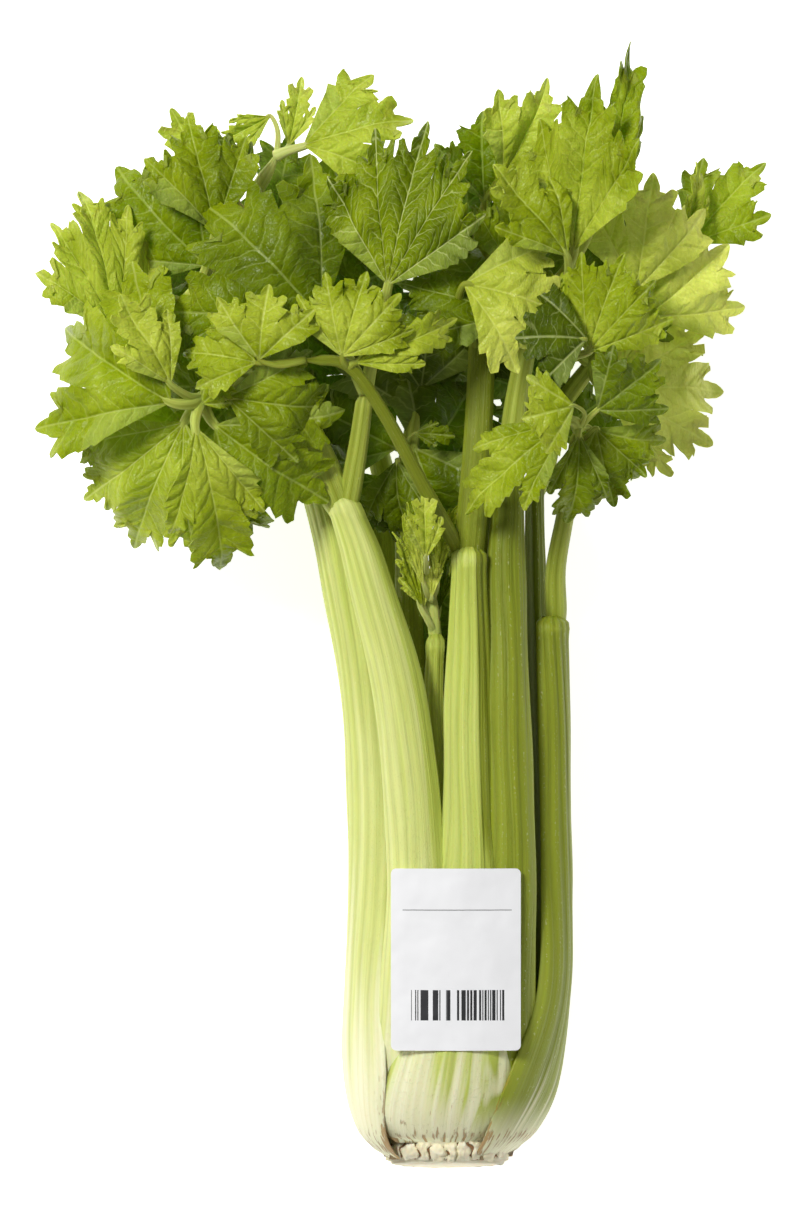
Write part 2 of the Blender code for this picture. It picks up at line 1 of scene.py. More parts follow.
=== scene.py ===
"""A head of celery on a pale table, seen from straight above.

It has ribbed stalks, leafy tops, a cut heel and a paper label. The tables hold millimetres on the head's own
axes: x = 0 near its middle, y = 0 at the end of the heel and z = 0 on the table. The label's place in the
frame says where those axes are. Angles are degrees.
"""

import random
from math import atan2, cos, degrees, exp, floor, hypot, pi, radians, sin

import bmesh
import bpy
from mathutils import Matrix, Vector, kdtree, noise


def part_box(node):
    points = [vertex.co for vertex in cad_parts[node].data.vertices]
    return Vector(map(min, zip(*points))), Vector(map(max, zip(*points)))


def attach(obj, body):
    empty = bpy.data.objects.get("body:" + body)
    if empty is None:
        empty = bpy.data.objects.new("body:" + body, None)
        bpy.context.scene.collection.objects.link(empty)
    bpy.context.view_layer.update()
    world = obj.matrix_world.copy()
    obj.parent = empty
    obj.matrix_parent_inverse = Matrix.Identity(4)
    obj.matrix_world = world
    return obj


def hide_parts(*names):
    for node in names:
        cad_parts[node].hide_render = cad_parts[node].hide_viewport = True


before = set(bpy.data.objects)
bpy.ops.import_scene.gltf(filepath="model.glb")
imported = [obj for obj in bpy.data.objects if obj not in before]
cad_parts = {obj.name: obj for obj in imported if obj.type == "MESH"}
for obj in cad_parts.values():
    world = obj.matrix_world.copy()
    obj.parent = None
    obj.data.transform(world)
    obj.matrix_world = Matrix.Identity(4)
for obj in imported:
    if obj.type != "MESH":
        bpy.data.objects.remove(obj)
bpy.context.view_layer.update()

MM = 0.001
UP = Vector((0, 0, 1))

# How high the middle of the bundle is, and where the stalks meet the heel, across and along.
BUNDLE_Z = 33.0
HEEL_X = -2.0
HEEL_END = 2.5

# A leaf's thickness, and the angle past which an edge of it stays crisp.
BLADE = 0.4
CRISP = 50

# The frame's leaflets were raised by at most so much, and their tips are found again this near.
MOST_RISE = 40
NEAR = 0.8

# Each stalk as the frame has it: rows of (y, x, z, width, facing) for the middle of its outer face.
STALKS = {
    "stalk_front": (
        (30, -2, 65.5, 41, 0), (60, 1, 66, 32, 1), (100, 4.5, 66, 22, 3), (156, 4, 66, 18, 3),
        (207, 4, 66, 13, 2),
    ),
    "stalk_left_outer": (
        (30, -37.5, 35, 50, -86), (60, -37, 38, 38, -78), (100, -35, 44, 27, -66), (156, -36.5, 47, 20, -52),
        (203, -44, 48, 17, -42), (236, -52, 49, 13, -36),
    ),
    "stalk_right_outer": (
        (30, 34, 38, 48, 80), (60, 38, 38, 36, 80), (100, 38.5, 40, 26, 76), (156, 37.5, 42, 21, 66),
        (184, 36, 43, 17, 54),
    ),
    "stalk_under_right": (
        (30, 15, 1, 42, 160), (60, 15, -0.6, 30, 163), (100, 15, -0.8, 22, 165), (160, 15, -0.6, 19, 168),
        (232, 17, 4, 13, 170),
    ),
    "stalk_under_left": (
        (30, -16, 1, 42, -160), (60, -16, -0.6, 30, -163), (100, -17, -0.8, 22, -165),
        (160, -19, -0.6, 19, -166), (232, -25, 3, 13, -168),
    ),
    "stalk_left_front": (
        (30, -17, 60, 30, -24), (60, -15.5, 63, 27, -18), (100, -15, 64.3, 22, -13), (156, -20, 66, 20, -10),
        (203, -32, 67, 16, -9), (224, -39.5, 66, 12.5, -9),
    ),
    "stalk_right_mid": (
        (30, 17, 58, 28, 30), (60, 18.5, 61.5, 22, 22), (100, 19.5, 63, 18, 16), (156, 18, 62, 17, 14),
        (203, 17, 60, 14, 10), (240, 18, 58, 10.5, 8),
    ),
    "stalk_left_back": (
        (30, -33, 18, 38, -118), (100, -34.5, 20, 23, -112), (160, -38, 20, 19, -106),
        (234, -47, 22, 13, -96),
    ),
    "stalk_right_back": (
        (30, 30, 18, 34, 120), (100, 33, 19, 21, 112), (160, 31, 20, 17, 106), (232, 29, 22, 12, 100),
    ),
    "stalk_inner_left": (
        (30, -17, 40, 18, -60), (100, -17, 41, 15, -56), (160, -18, 40, 14, -50), (222, -19, 40, 10, -40),
    ),
    "stalk_inner_right": (
        (30, 17, 38, 18, 70), (100, 18, 40, 15, 70), (160, 17, 40, 13, 60), (226, 14, 40, 10, 40),
    ),
    "stalk_inner_back": (
        (30, 0, 17, 18, 180), (100, 0, 16, 15, 180), (160, -1, 17, 13, 180), (220, -2, 20, 9, 180),
    ),
    "heart_stem": (
        (30, -2, 46, 11, -10), (100, -5, 50, 9, -10), (150, -8, 52, 8, -10), (178, -7.5, 53, 6.5, -10),
    ),
}

# A stalk's foot and ankle: (height over the foot's end, then shares of the first row's x, z and width).
FEET = ((0.0, 0.6, 0.55, 0.58), (8.5, 0.82, 0.8, 0.8))
FOOT_END = {"stalk_left_front": 7.0, "stalk_right_mid": 7.0}

# Rows in place of a stalk's first one: fuller feet than the frame's, so that the sheaths close over the heel.
FULL_FEET = {
    "stalk_front": ((8.5, -4.4, 53.5, 39, 0), (17, -4.2, 61.5, 44, 0), (30, -2.5, 65.5, 44, 0)),
    "stalk_left_outer": ((2.5, -24.5, 34.2, 28, -92), (11, -32.7, 34.7, 39, -85), (30, -37.5, 34.4, 53, -81)),
    "stalk_right_outer": ((2.5, 14.5, 40, 25, 66), (11, 23.5, 43, 37, 63), (30, 33.0, 40.5, 51, 72)),
}

# How a stalk's cross-section changes along it: (y, thickness, half of the arc it wraps).
SECTION = ((2, 4.0, 40), (30, 5.5, 38), (70, 7.0, 52), (110, 7.5, 63), (160, 7.0, 70), (240, 5.5, 76))

# The outer side's share of that section, how far the ends are rounded, how far under the top the joint swells
# and over what length, where the ridge sets in, and where the sheath at the foot ends.
OUTER_SHARE = 0.66
FOOT_ROUND, TOP_ROUND = 2.4, 1.6
JOINT_DOWN, JOINT_LENGTH = 4.0, 2.2
RIDGE_FROM, RIDGE_GROWS = 96, 20
SHEATH_END = 60

# Each stalk's ribs, how deep they are in millimetres, and its green, from 0, nearly cream, to 1, olive. The
# deep olive of the inner stalks is painted shade.
STALK_LOOKS = {
    "stalk_front": (6, 0.6, 0.36), "stalk_left_outer": (8, 0.4, 0.2), "stalk_right_outer": (7, 0.5, 0.74),
    "stalk_under_right": (7, 0.6, 0.7), "stalk_under_left": (7, 0.6, 0.4),
    "stalk_left_front": (7, 0.28, 0.2), "stalk_right_mid": (5, 0.34, 0.74),
    "stalk_left_back": (7, 0.6, 0.4), "stalk_right_back": (7, 0.6, 0.92),
    "stalk_inner_left": (5, 0.4, 0.75), "stalk_inner_right": (5, 0.4, 0.95),
    "stalk_inner_back": (5, 0.4, 0.7), "heart_stem": (4, 0.3, 0.52),
}

# The crisp ridge that some stalks have beside their middle: (place across, height, deeper green past it).
# That deeper green is painted shade on the facet turned from the light, and near the foot it also deepens the
# stalk's right half.
RIDGES = {"stalk_front": (0.24, 1.5, 0.34), "stalk_right_outer": (-0.3, 0.6, 0.0),
          "stalk_left_front": (0.45, 0.6, 0.2)}

# A leaflet's lobes: (angle from its midrib, length, half of its width), the midrib's own first and the others
# on both sides. Then how far out the notches between them lie, and past what width lobes have shoulders.
LEAF_KINDS = {
    "fan": ((0, 1.0, 13), (27, 0.97, 12), (53, 0.86, 12)),
    "trident": ((0, 1.0, 19), (38, 0.9, 17)),
    "slim": ((0, 1.0, 15), (27, 0.68, 10)),
}
NOTCHES = {"fan": 0.76, "trident": 0.62, "slim": 0.52}
SHOULDERS_PAST = 11


def trident(joint, base, tip, roll, width, tone):
    """A leaflet of the usual form, with the usual arch and cup."""
    return "trident", joint, base, tip, roll, width, 0.1, 0.12, tone


# Each leafy top: its stem as rows of (x, y, z, radius), and its leaflets as (kind, stem row it leaves from,
# base, tip, roll, width, arch, cup, tone). Tone runs from 0, dark, over 0.5, green, to 1, pale.
FRONDS = {
    "frond_under_left": (
        ((-25, 233, 6, 4.0), (-30, 252, 9, 3.2), (-37, 272, 10, 2.6), (-44, 292, 12, 2.2)),
        ("trident", 1, (-46, 252, 9), (-78, 246, 5), 10, 1.0, 0.1, 0.1, 0.3),
        trident(2, (-56, 276, 11), (-88, 287, 7), -8, 1.0, 0.3),
        ("trident", 3, (-49, 304, 13), (-62, 338, 16), 0, 1.1, 0.12, 0.1, 0.3),
    ),
    "frond_under_right": (
        ((17, 233, 7, 4.0), (22, 252, 9, 3.2), (29, 270, 11, 2.6), (36, 287, 13, 2.2)),
        ("trident", 1, (38, 250, 9), (66, 240, 5), -10, 1.0, 0.1, 0.1, 0.3),
        trident(2, (46, 272, 11), (76, 278, 7), 8, 1.0, 0.3),
        ("trident", 3, (41, 299, 14), (50, 332, 17), 0, 1.1, 0.12, 0.1, 0.3),
    ),
    "frond_left_back": (
        ((-47, 235, 24, 4.2), (-56, 262, 32, 3.6), (-64, 292, 42, 3.0), (-69, 318, 50, 2.6),
         (-60, 337, 58, 2.2)),
        ("trident", 1, (-74, 268, 28), (-108, 262, 16), 12, 1.0, 0.12, 0.1, 0.3),
        trident(2, (-82, 300, 42), (-116, 318, 34), 6, 1.0, 0.2),
        ("slim", 3, (-79, 325, 54), (-94, 353, 56), -20, 1.0, 0.08, 0.15, 0.8),
        ("slim", 4, (-62, 350, 60), (-80, 341, 57), -10, 0.8, 0.08, 0.15, 0.7),
        ("trident", 3, (-73, 322, 60), (-80, 346, 68), 25, 0.7, 0.06, 0.2, 0.2),
        ("slim", 4, (-56, 340, 62), (-51, 363, 64), 10, 0.8, 0.05, 0.1, 0.75),
        ("trident", 4, (-51, 340, 64), (-12, 348, 66), -18, 0.85, 0.08, 0.12, 0.64),
    ),
    "frond_right_back": (
        ((29, 233, 24, 4.0), (34, 252, 32, 3.4), (45, 268, 40, 2.8), (60, 284, 46, 2.4), (71, 298, 50, 2.0)),
        # Painted light: this fan leaflet lies in the shadow of leaflets above it and is painted paler, with a
        # tone past the ramp's end.
        ("fan", 2, (50, 259, 44), (91, 261, 38), -10, 1.1, 0.1, 0.06, 1.3),
        ("trident", 3, (63, 284, 56), (91, 308, 58), 15, 1.0, 0.08, 0.1, 0.9),
        ("trident", 4, (78, 308, 50), (100, 335, 54), -14, 0.8, 0.06, 0.14, 0.5),
        ("slim", 4, (74, 305, 56), (81, 336, 62), 30, 0.5, 0.06, 0.16, 0.6),
        ("trident", 3, (59, 292, 60), (64, 333, 66), 12, 0.9, 0.08, 0.1, 0.85),
    ),
    "frond_left_outer": (
        ((-52.5, 237, 46, 4.6), (-60, 258, 50, 4.0), (-74, 276, 54, 3.4), (-92, 287, 57, 2.8),
         (-104, 291, 60, 2.2)),
        ("trident", 2, (-84, 262, 50), (-122, 256, 38), 10, 1.1, 0.12, 0.08, 0.5),
        ("trident", 3, (-83, 300, 62), (-114, 333, 58), -12, 1.1, 0.1, 0.1, 0.3),
        ("fan", 4, (-112, 277, 64), (-124, 325, 56), 14, 0.62, 0.08, 0.08, 0.66),
        trident(3, (-80, 311, 66), (-90, 350, 62), 8, 0.8, 0.35),
    ),
    "frond_inner": (
        ((-18, 223, 38, 3.6), (-16, 240, 42, 3.0), (-13, 256, 46, 2.4)),
        ("trident", 2, (-12, 260, 47), (-9, 288, 50), 6, 1.1, 0.1, -0.06, 0.1),
        ("slim", 1, (-14, 245, 53), (-1, 244, 57), 0, 0.9, 0.08, 0.1, 0.3),
        trident(0, (-20, 236, 46), (-17, 208, 42), 20, 0.8, 0.2),
    ),
    "frond_front": (
        ((4, 208, 59.5, 5.0), (6.5, 240, 60, 4.8), (8, 272, 58, 4.4), (8, 302, 58, 3.6), (9, 322, 60, 2.6)),
        ("trident", 3, (9, 322, 62), (8, 350, 66), -10, 1.0, 0.08, 0.1, 0.2),
        ("trident", 4, (15, 330, 66), (31, 362, 74), 18, 0.75, 0.08, 0.18, 0.7),
        ("trident", 2, (19, 296, 64), (14, 333, 68), 20, 0.65, 0.08, 0.14, 0.35),
        ("trident", 2, (17, 283, 72), (-21, 295, 80), 10, 0.75, 0.1, 0.1, 0.15),
        ("trident", 2, (15, 284, 76), (37, 288, 72), -8, 1.3, 0.08, 0.1, 0.75),
    ),
    "frond_right_mid": (
        ((18, 241, 56, 4.2), (20, 258, 58, 3.8), (24, 276, 62, 3.2), (32, 293, 70, 2.6)),
        ("slim", 3, (46, 316, 80), (60, 375, 84), 25, 0.45, 0.05, 0.16, 0.5),
        ("trident", 3, (38, 304, 80), (46, 361, 88), -14, 0.6, 0.06, 0.1, 0.6),
        ("slim", 3, (36, 302, 82), (10, 330, 84), 20, 1.1, 0.1, 0.14, 0.5),
        ("fan", 2, (43, 271, 78), (55, 305, 86), -8, 0.85, 0.08, 0.08, 0.55),
        trident(2, (42, 275, 80), (19, 275, 82), 12, 1.3, 0.02),
    ),
    "frond_left_front_right": (
        ((-35.5, 225, 63, 3.6), (-32.5, 243, 68, 3.2), (-30.5, 258, 72, 2.8)),
        ("trident", 2, (-45, 282, 78), (-83, 321, 84), 8, 1.2, 0.1, 0.06, 0.18),
        ("fan", 2, (-23, 293, 82), (-10, 349, 90), -6, 0.66, 0.08, 0.06, 0.3),
    ),
    "frond_right_outer": (
        ((33, 185, 38, 3.8), (33, 200, 44, 3.4), (36, 218, 53, 3.0), (38.5, 235, 64, 2.6),
         (40, 246, 72, 2.4)),
        ("trident", 3, (46, 246, 70), (52, 221, 60), 10, 0.9, 0.1, 0.1, 0.35),
        ("slim", 4, (40, 244, 76), (37, 213, 66), -15, 1.0, 0.12, 0.12, 0.3),
        trident(4, (46, 252, 80), (66, 268, 84), 12, 1.0, 0.2),
        ("slim", 4, (36, 248, 80), (0, 216, 74), 15, 0.9, 0.12, 0.14, 0.5),
        ("trident", 4, (38, 253, 82), (21, 249, 80), -10, 1.3, 0.1, 0.1, 0.5),
    ),
    "frond_left_front": (
        ((-41, 225, 61.5, 5.4), (-48, 242, 67, 4.7), (-56, 258, 72, 3.4), (-70, 262, 75, 2.8),
         (-84, 256, 77, 2.4)),
        ("trident", 4, (-80, 247, 74), (-43, 222, 62), 10, 1.1, 0.12, 0.1, 0.35),
        ("fan", 4, (-90, 248, 76), (-108, 206, 54), 6, 1.0, 0.14, 0.06, 0.6),
        ("slim", 4, (-86, 246, 78), (-78, 198, 56), -12, 1.0, 0.16, 0.1, 0.55),
        ("trident", 3, (-76, 256, 80), (-39, 252, 72), 10, 0.9, 0.12, 0.12, 0.3),
        ("trident", 4, (-94, 254, 80), (-133, 280, 66), -8, 1.15, 0.12, 0.08, 0.46),
        ("slim", 4, (-94, 260, 84), (-112, 289, 88), 20, 1.1, 0.08, 0.12, 0.7),
        ("slim", 4, (-84, 254, 84), (-74, 262, 90), 0, 1.4, 0.1, 0.1, 0.5),
    ),
    "frond_front_branch": (
        ((-2.5, 211, 64, 2.6), (-12, 228, 74, 2.4), (-24, 250, 84, 2.2), (-36, 266, 90, 2.0),
         (-50, 268, 92, 1.6)),
        trident(4, (-66, 267, 92), (-90, 271, 88), 10, 0.9, 0.5),
        ("trident", 4, (-65, 268, 93), (-62, 293, 96), -8, 1.1, 0.08, 0.12, 0.55),
        ("slim", 3, (-34, 267, 92), (0, 281, 90), 8, 0.8, 0.1, 0.12, 0.6),
        ("fan", 3, (-38, 269, 94), (-30, 297, 98), -4, 1.0, 0.08, 0.1, 0.6),
    ),
    "heart_leaves": (
        ((-7.5, 179, 50, 2.2), (-8.5, 190, 51, 1.8), (-10, 199, 53, 1.5)),
        ("slim", 0, (-11, 187, 54), (-18, 206, 56), 10, 0.8, 0.1, 0.2, 0.75),
        ("slim", 1, (-8.5, 190, 54), (-6, 212, 55), -10, 0.45, 0.1, 0.2, 0.85),
        ("slim", 2, (-10.5, 203, 59), (-11, 226, 63), 0, 0.8, 0.1, 0.2, 0.72),
    ),
}

# Leaflets with bold white veins, by their tips, and how bold they are. The others' are faint.
FAINT = 0.25
BOLD_LEAVES = {(-10, 349, 90): 1.0, (-108, 206, 54): 0.6, (-62, 293, 96): 0.4, (19, 275, 82): 0.5}

# Leaflets with wide, blunt teeth, by their tips, and how far apart the teeth are. The others' are closer.
WIDE_TEETH = {(91, 261, 38): 9.0, (91, 308, 58): 8.5, (64, 333, 66): 8.0, (46, 361, 88): 9.0,
              (60, 375, 84): 10.0, (-12, 348, 66): 8.0, (-124, 325, 56): 7.5, (-83, 321, 84): 8.0}

# How deep the green of a frond's stems is, on the stalks' scale, and where it is another. The deep green of
# frond_front's stems is painted shade.
STEM_TONE = 0.6
STEM_TONES = {"frond_front": 0.85, "frond_front_branch": 0.85, "frond_left_back": 0.3, "heart_leaves": 0.4}

# Seeds of leaflets count up from these numbers, frond by frond.
FROND_SEEDS, SHADE_SEEDS = 100, 50

# Leaflets that fill gaps where the frame has none. The dark ones are painted shade: dark sheets that stand
# for the shade between the others. Those darker than DEEP_SHADE are coarse.
DEEP_SHADE = 0.3
SHADE_LEAVES = {
    "frond_front": (
        ("trident", 2, (2, 293, 84), (36, 283, 82), -14, 1.15, 0.14, 0.14, 0.8),
        trident(3, (4, 306, 50), (2, 336, 46), 10, 1.5, 0.12),
        trident(2, (10, 282, 48), (18, 308, 46), 8, 1.4, 0.1),
    ),
    "frond_left_front": (
        ("trident", 3, (-70, 260, 66), (-90, 236, 60), 8, 1.5, 0.1, 0.1, 0.25),
    ),
    "frond_right_outer": (
        ("trident", 4, (44, 246, 68), (62, 228, 56), 8, 1.0, 0.14, 0.14, 0.45),
    ),
    "heart_leaves": (
        ("slim", 0, (-12, 187, 56), (-23, 213, 59), 24, 0.34, 0.1, 0.2, 0.6),
        ("slim", 1, (-11, 194, 60), (-16, 222, 65), -20, 0.34, 0.1, 0.2, 0.76),
        ("slim", 1, (-7, 194, 58), (-1, 222, 61), -24, 0.32, 0.1, 0.2, 0.64),
        ("slim", 0, (-11, 186, 50), (-18, 206, 50), 10, 0.5, 0.1, 0.2, 0.3),
        ("slim", 0, (-6, 186, 48), (-3, 208, 48), -10, 0.5, 0.1, 0.2, 0.25),
        ("trident", 0, (-12, 194, 38), (-10, 166, 35), 0, 1.5, 0.08, 0.1, 0.15),
    ),
    "frond_inner": (
        trident(2, (-14, 252, 44), (-24, 284, 40), 12, 1.2, 0.1),
        trident(1, (-20, 240, 40), (-48, 256, 34), -10, 1.2, 0.15),
        trident(1, (-12, 236, 40), (8, 266, 38), 14, 1.3, 0.1),
        trident(2, (-12, 262, 42), (6, 296, 40), -8, 1.2, 0.05),
        trident(1, (-14, 240, 44), (-2, 210, 42), 10, 1.3, 0.2),
        trident(0, (-22, 230, 40), (-36, 212, 36), 10, 1.2, 0.15),
    ),
    "frond_left_back": (
        trident(2, (-58, 286, 44), (-20, 300, 42), 10, 1.2, 0.12),
        trident(3, (-62, 308, 46), (-30, 332, 44), -8, 1.2, 0.12),
        trident(1, (-62, 262, 34), (-36, 280, 36), 8, 1.3, 0.12),
        trident(1, (-70, 276, 38), (-92, 304, 36), 8, 1.2, 0.2),
        trident(0, (-58, 248, 40), (-88, 240, 46), 8, 1.3, 0.15),
        trident(0, (-52, 244, 36), (-34, 256, 34), 8, 1.4, 0.12),
    ),
    "frond_right_back": (
        trident(1, (30, 258, 34), (10, 290, 36), 10, 1.2, 0.05),
        trident(2, (40, 272, 42), (22, 308, 44), -8, 1.2, 0.12),
        trident(2, (44, 276, 42), (62, 304, 44), 8, 1.2, 0.2),
        trident(3, (50, 292, 48), (16, 326, 48), 8, 1.2, 0.15),
        trident(0, (32, 246, 30), (52, 258, 34), 8, 1.3, 0.12),
        trident(0, (30, 240, 26), (14, 262, 30), 8, 1.3, 0.05),
    ),
}

# How far a frond's root runs down into its stalk, and how far it sinks.
ROOT_LENGTH, ROOT_DROP = 10, 2.5

# The label, then its print in shares of its width and height: a thin rule and a block of bars.
LABEL_MIDDLE = (-0.5, 70.3)
LABEL_SIZE = (43.0, 60.3)
LABEL_Z = 67.0
LABEL_BEND = 130.0
PAPER = 0.15
LABEL_CORNER = 3.2
LABEL_CELLS = (24, 34)
RULE_ACROSS, RULE_UP = (0.088, 0.932), 0.772
BARS_ACROSS, BARS_UP, BARS = (0.155, 0.877), (0.165, 0.334), 118

# The heel: half of its width and height, and its length. Then the middle of its face, its core's middle,
# start and length, and the row of scars: its start and length across, its y and z, and a scar's width.
HEEL_SIZE = (19.5, 17.5, 13.0)
HEEL_MIDDLE = -3.0
CORE = (-2.5, 5.0, 34.0)
SCARS = (-22.5, 39.5, 6.2, 49.4, 4.4)

# What a vertex of a stalk or stem, and of a leaf, tells its material.
STALK_FIELDS = ("along", "around", "crest", "tone", "seam")
LEAF_FIELDS = ("vein", "rib", "share", "tone", "bold", "flat_x", "flat_y", "seed")

# The picture: what it spans along the head, the head's point in its middle, and the camera. Then half of the
# table's width, in metres.
VIEW_SPAN = 403.3
VIEW_MIDDLE = (-19.0, 187.7)
VIEW_LEVEL = 50.0
CAMERA_HEIGHT = 2500.0
SENSOR = 36.0
TABLE_HALF = 4.0

LABEL_LOW, LABEL_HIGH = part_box("label")
SHIFT = (LABEL_LOW + LABEL_HIGH) / 2 - Vector((*LABEL_MIDDLE, 0)) * MM
SHIFT.z = 0


def glide(rows, y):
    """The values at y on a smooth curve through rows of (y, value, ...)."""
    last = len(rows) - 1
    i = min(last - 1, sum(row[0] <= y for row in rows[1:-1]))
    low, high = rows[i], rows[i + 1]
    before, after = rows[max(0, i - 1)], rows[min(last, i + 2)]
    span = high[0] - low[0]
    t = (y - low[0]) / span
    values = []
    for k in range(1, len(low)):
        leave = (high[k] - before[k]) / (high[0] - before[0]) * span
        arrive = (after[k] - low[k]) / (after[0] - low[0]) * span
        values.append(low[k] * (2 * t**3 - 3 * t**2 + 1) + leave * (t**3 - 2 * t**2 + t)
                      + high[k] * (3 * t**2 - 2 * t**3) + arrive * (t**3 - t**2))
    return values


def clamp(value):
    """The value, kept between 0 and 1."""
    return min(1, max(0, value))


def drift(*place):
    """A smooth random number from -1 to 1, by place."""
    return noise.noise(Vector(place))


def paint(red, green, blue):
    """A colour of parts from 0 to 255, made linear for a shader."""
    return tuple((part / 255) ** 2.2 for part in (red, green, blue)) + (1.0,)


# Materials

# How light sinks into the flesh of stalks and heel.
FLESH = {"Subsurface_Weight": 0.1, "Subsurface_Scale": 0.004}


def operator(operation, turned=False):
    """A method that adds a Math node. Turned, the other value comes first."""
    def method(self, other):
        return self.finish.math(operation, *((other, self) if turned else (self, other)))
    return method


class Field:
    """A number that varies over a surface. Arithmetic on it adds Math nodes to its material."""

    def __init__(self, finish, socket):
        self.finish, self.socket = finish, socket

    def __abs__(self):
        return self.finish.math("ABSOLUTE", self)

    __add__ = __radd__ = operator("ADD")
    __sub__, __rsub__ = operator("SUBTRACT"), operator("SUBTRACT", True)
    __mul__ = __rmul__ = operator("MULTIPLY")
    __truediv__, __rtruediv__ = operator("DIVIDE"), operator("DIVIDE", True)


class Finish:
    """A material and the ways to add nodes to it."""

    def __init__(self, name, **constants):
        self.material = bpy.data.materials.new(name)
        self.material.use_nodes = True
        self.tree = self.material.node_tree
        self.shader = self.tree.nodes["Principled BSDF"]
        self.set(**constants)

    def plug(self, socket, value):
        """Links a field to a socket, or gives the socket a constant."""
        if isinstance(value, Field):
            self.tree.links.new(value.socket, socket)
        else:
            socket.default_value = value

    def node(self, kind, settings, sockets, output=0):
        """A node of this kind, with its settings, then the values or links of its sockets."""
        node = self.tree.nodes.new("ShaderNode" + kind)
        for name, value in settings.items():
            if name == "stops":
                for n, (place, colour) in enumerate(value):
                    stop = node.color_ramp.elements[n] if n < 2 else node.color_ramp.elements.new(place)
                    stop.position, stop.color = place, colour
            else:
                setattr(node, name, value)
        for name, value in sockets.items():
            self.plug(node.inputs[name], value)
        return Field(self, node.outputs[output])

    def math(self, operation, *values):
        return self.node("Math", {"operation": operation}, dict(enumerate(values)))

    def attribute(self, name):
        return self.node("Attribute", {"attribute_name": name}, {}, "Fac")

    def place(self):
        return self.node("TexCoord", {}, {}, "Object")

    def vector(self, x, y, z):
        return self.node("CombineXYZ", {}, {0: x, 1: y, 2: z})

    def noise(self, vector, scale, detail=2.0):
        return self.node("TexNoise", {}, {"Vector": vector, "Scale": scale, "Detail": detail})

    def cells(self, vector, scale):
        return self.node("TexVoronoi", {"feature": "DISTANCE_TO_EDGE"}, {"Vector": vector, "Scale": scale})

    def step(self, value, low, high):
        """0 below low and 1 above high, smooth between. With low over high it falls."""
        return self.node("MapRange", {"interpolation_type": "SMOOTHSTEP"},
                         {"Value": value, "From Min": low, "From Max": high})

    def band(self, value, ends, soft):
        """1 between two ends and 0 outside them."""
        return self.step(value, ends[0], ends[0] + soft) * self.step(value, ends[1], ends[1] - soft)

    def ramp(self, value, *stops):
        """A colour from (place, colour) stops, of which the first two are the ramp's ends."""
        return self.node("ValToRGB", {"stops": stops}, {"Fac": value})

    def blend(self, factor, first, second, how="MIX"):
        """A colour between two, by a number from 0 to 1."""
        return self.node("Mix", {"data_type": "RGBA", "blend_type": how, "clamp_factor": True},
                         {0: factor, 6: first, 7: second}, 2)

    def shade(self, colour, value):
        """A colour made lighter or darker by a number."""
        grey = self.node("CombineColor", {}, {0: value, 1: value, 2: value})
        return self.blend(1.0, colour, grey, "MULTIPLY")

    def bump(self, height, distance):
        """Raises the surface by the height times the distance, in millimetres."""
        return self.node("Bump", {}, {"Height": height, "Distance": distance * MM, "Strength": 1.0})

    def set(self, **sockets):
        """Feeds the shader's sockets and gives the material."""
        for name, value in sockets.items():
            self.plug(self.shader.inputs[name.replace("_", " ")], value)
        return self.material


def stalk_finish():
    """Ribbed skin with fine lengthwise lines, green to olive above and cream at the foot. Rib crests are
    painted lighter: partly their own paler colour, partly painted highlight.
    """
    skin = Finish("ribbed_stalk_skin", Specular_IOR_Level=0.26, **FLESH)
    along, around, crest, tone, seam = map(skin.attribute, STALK_FIELDS)

    def streaks(wide, long, shift, detail=2.0):
        return skin.noise(skin.vector(around * wide, along * long, tone * shift), 1.0, detail)

    lines, bands, clouds = streaks(6, 0.012, 9, 4.0), streaks(1.1, 0.006, 7), streaks(0.8, 0.04, 5)
    green = skin.ramp(tone + 0.5 * (bands - 0.5), (0.0, paint(228, 231, 160)), (1.0, paint(112, 124, 20)),
                      (0.22, paint(212, 219, 128)), (0.45, paint(192, 205, 92)), (0.72, paint(146, 157, 44)))
    # Rib crests are lighter: partly their own paler colour, partly painted highlight.
    lit = skin.shade(green, 0.81 + 0.22 * crest + 0.36 * (lines - 0.5) + 0.16 * (clouds - 0.5))
    edge = 20 + 42 * skin.step(tone, 0.34, 0.1) - 26 * skin.step(tone, 0.42, 0.72) + 170 * (bands - 0.48)
    edge = edge + 8 * crest + 16 * (lines - 0.5)
    pale = skin.step(along / skin.math("MAXIMUM", edge, 17.0), 1.5, 0.35)
    cream = skin.blend(lines, paint(222, 219, 158), paint(252, 249, 220))
    body = skin.blend(pale, lit, cream)
    flecks = skin.step(streaks(8, 0.9, 3), 0.6, 0.66)
    body = skin.blend(flecks * skin.step(crest, 0.82, 0.98) * 0.38, body, paint(228, 234, 170))
    grime = streaks(6, 0.22, 5, 6.0) + 0.24 * seam + 0.14 * skin.step(along, 17, 9)
    dirty = skin.step(along, 42, 8) * skin.step(grime, 0.66, 0.76)
    body = skin.blend(dirty * 0.75, body, paint(166, 118, 52))
    relief = skin.bump(lines * 0.7 + 0.15 * flecks - 0.5 * dirty, 0.45)
    return skin.set(Base_Color=body, Roughness=0.36 + 0.2 * lines, Normal=relief)


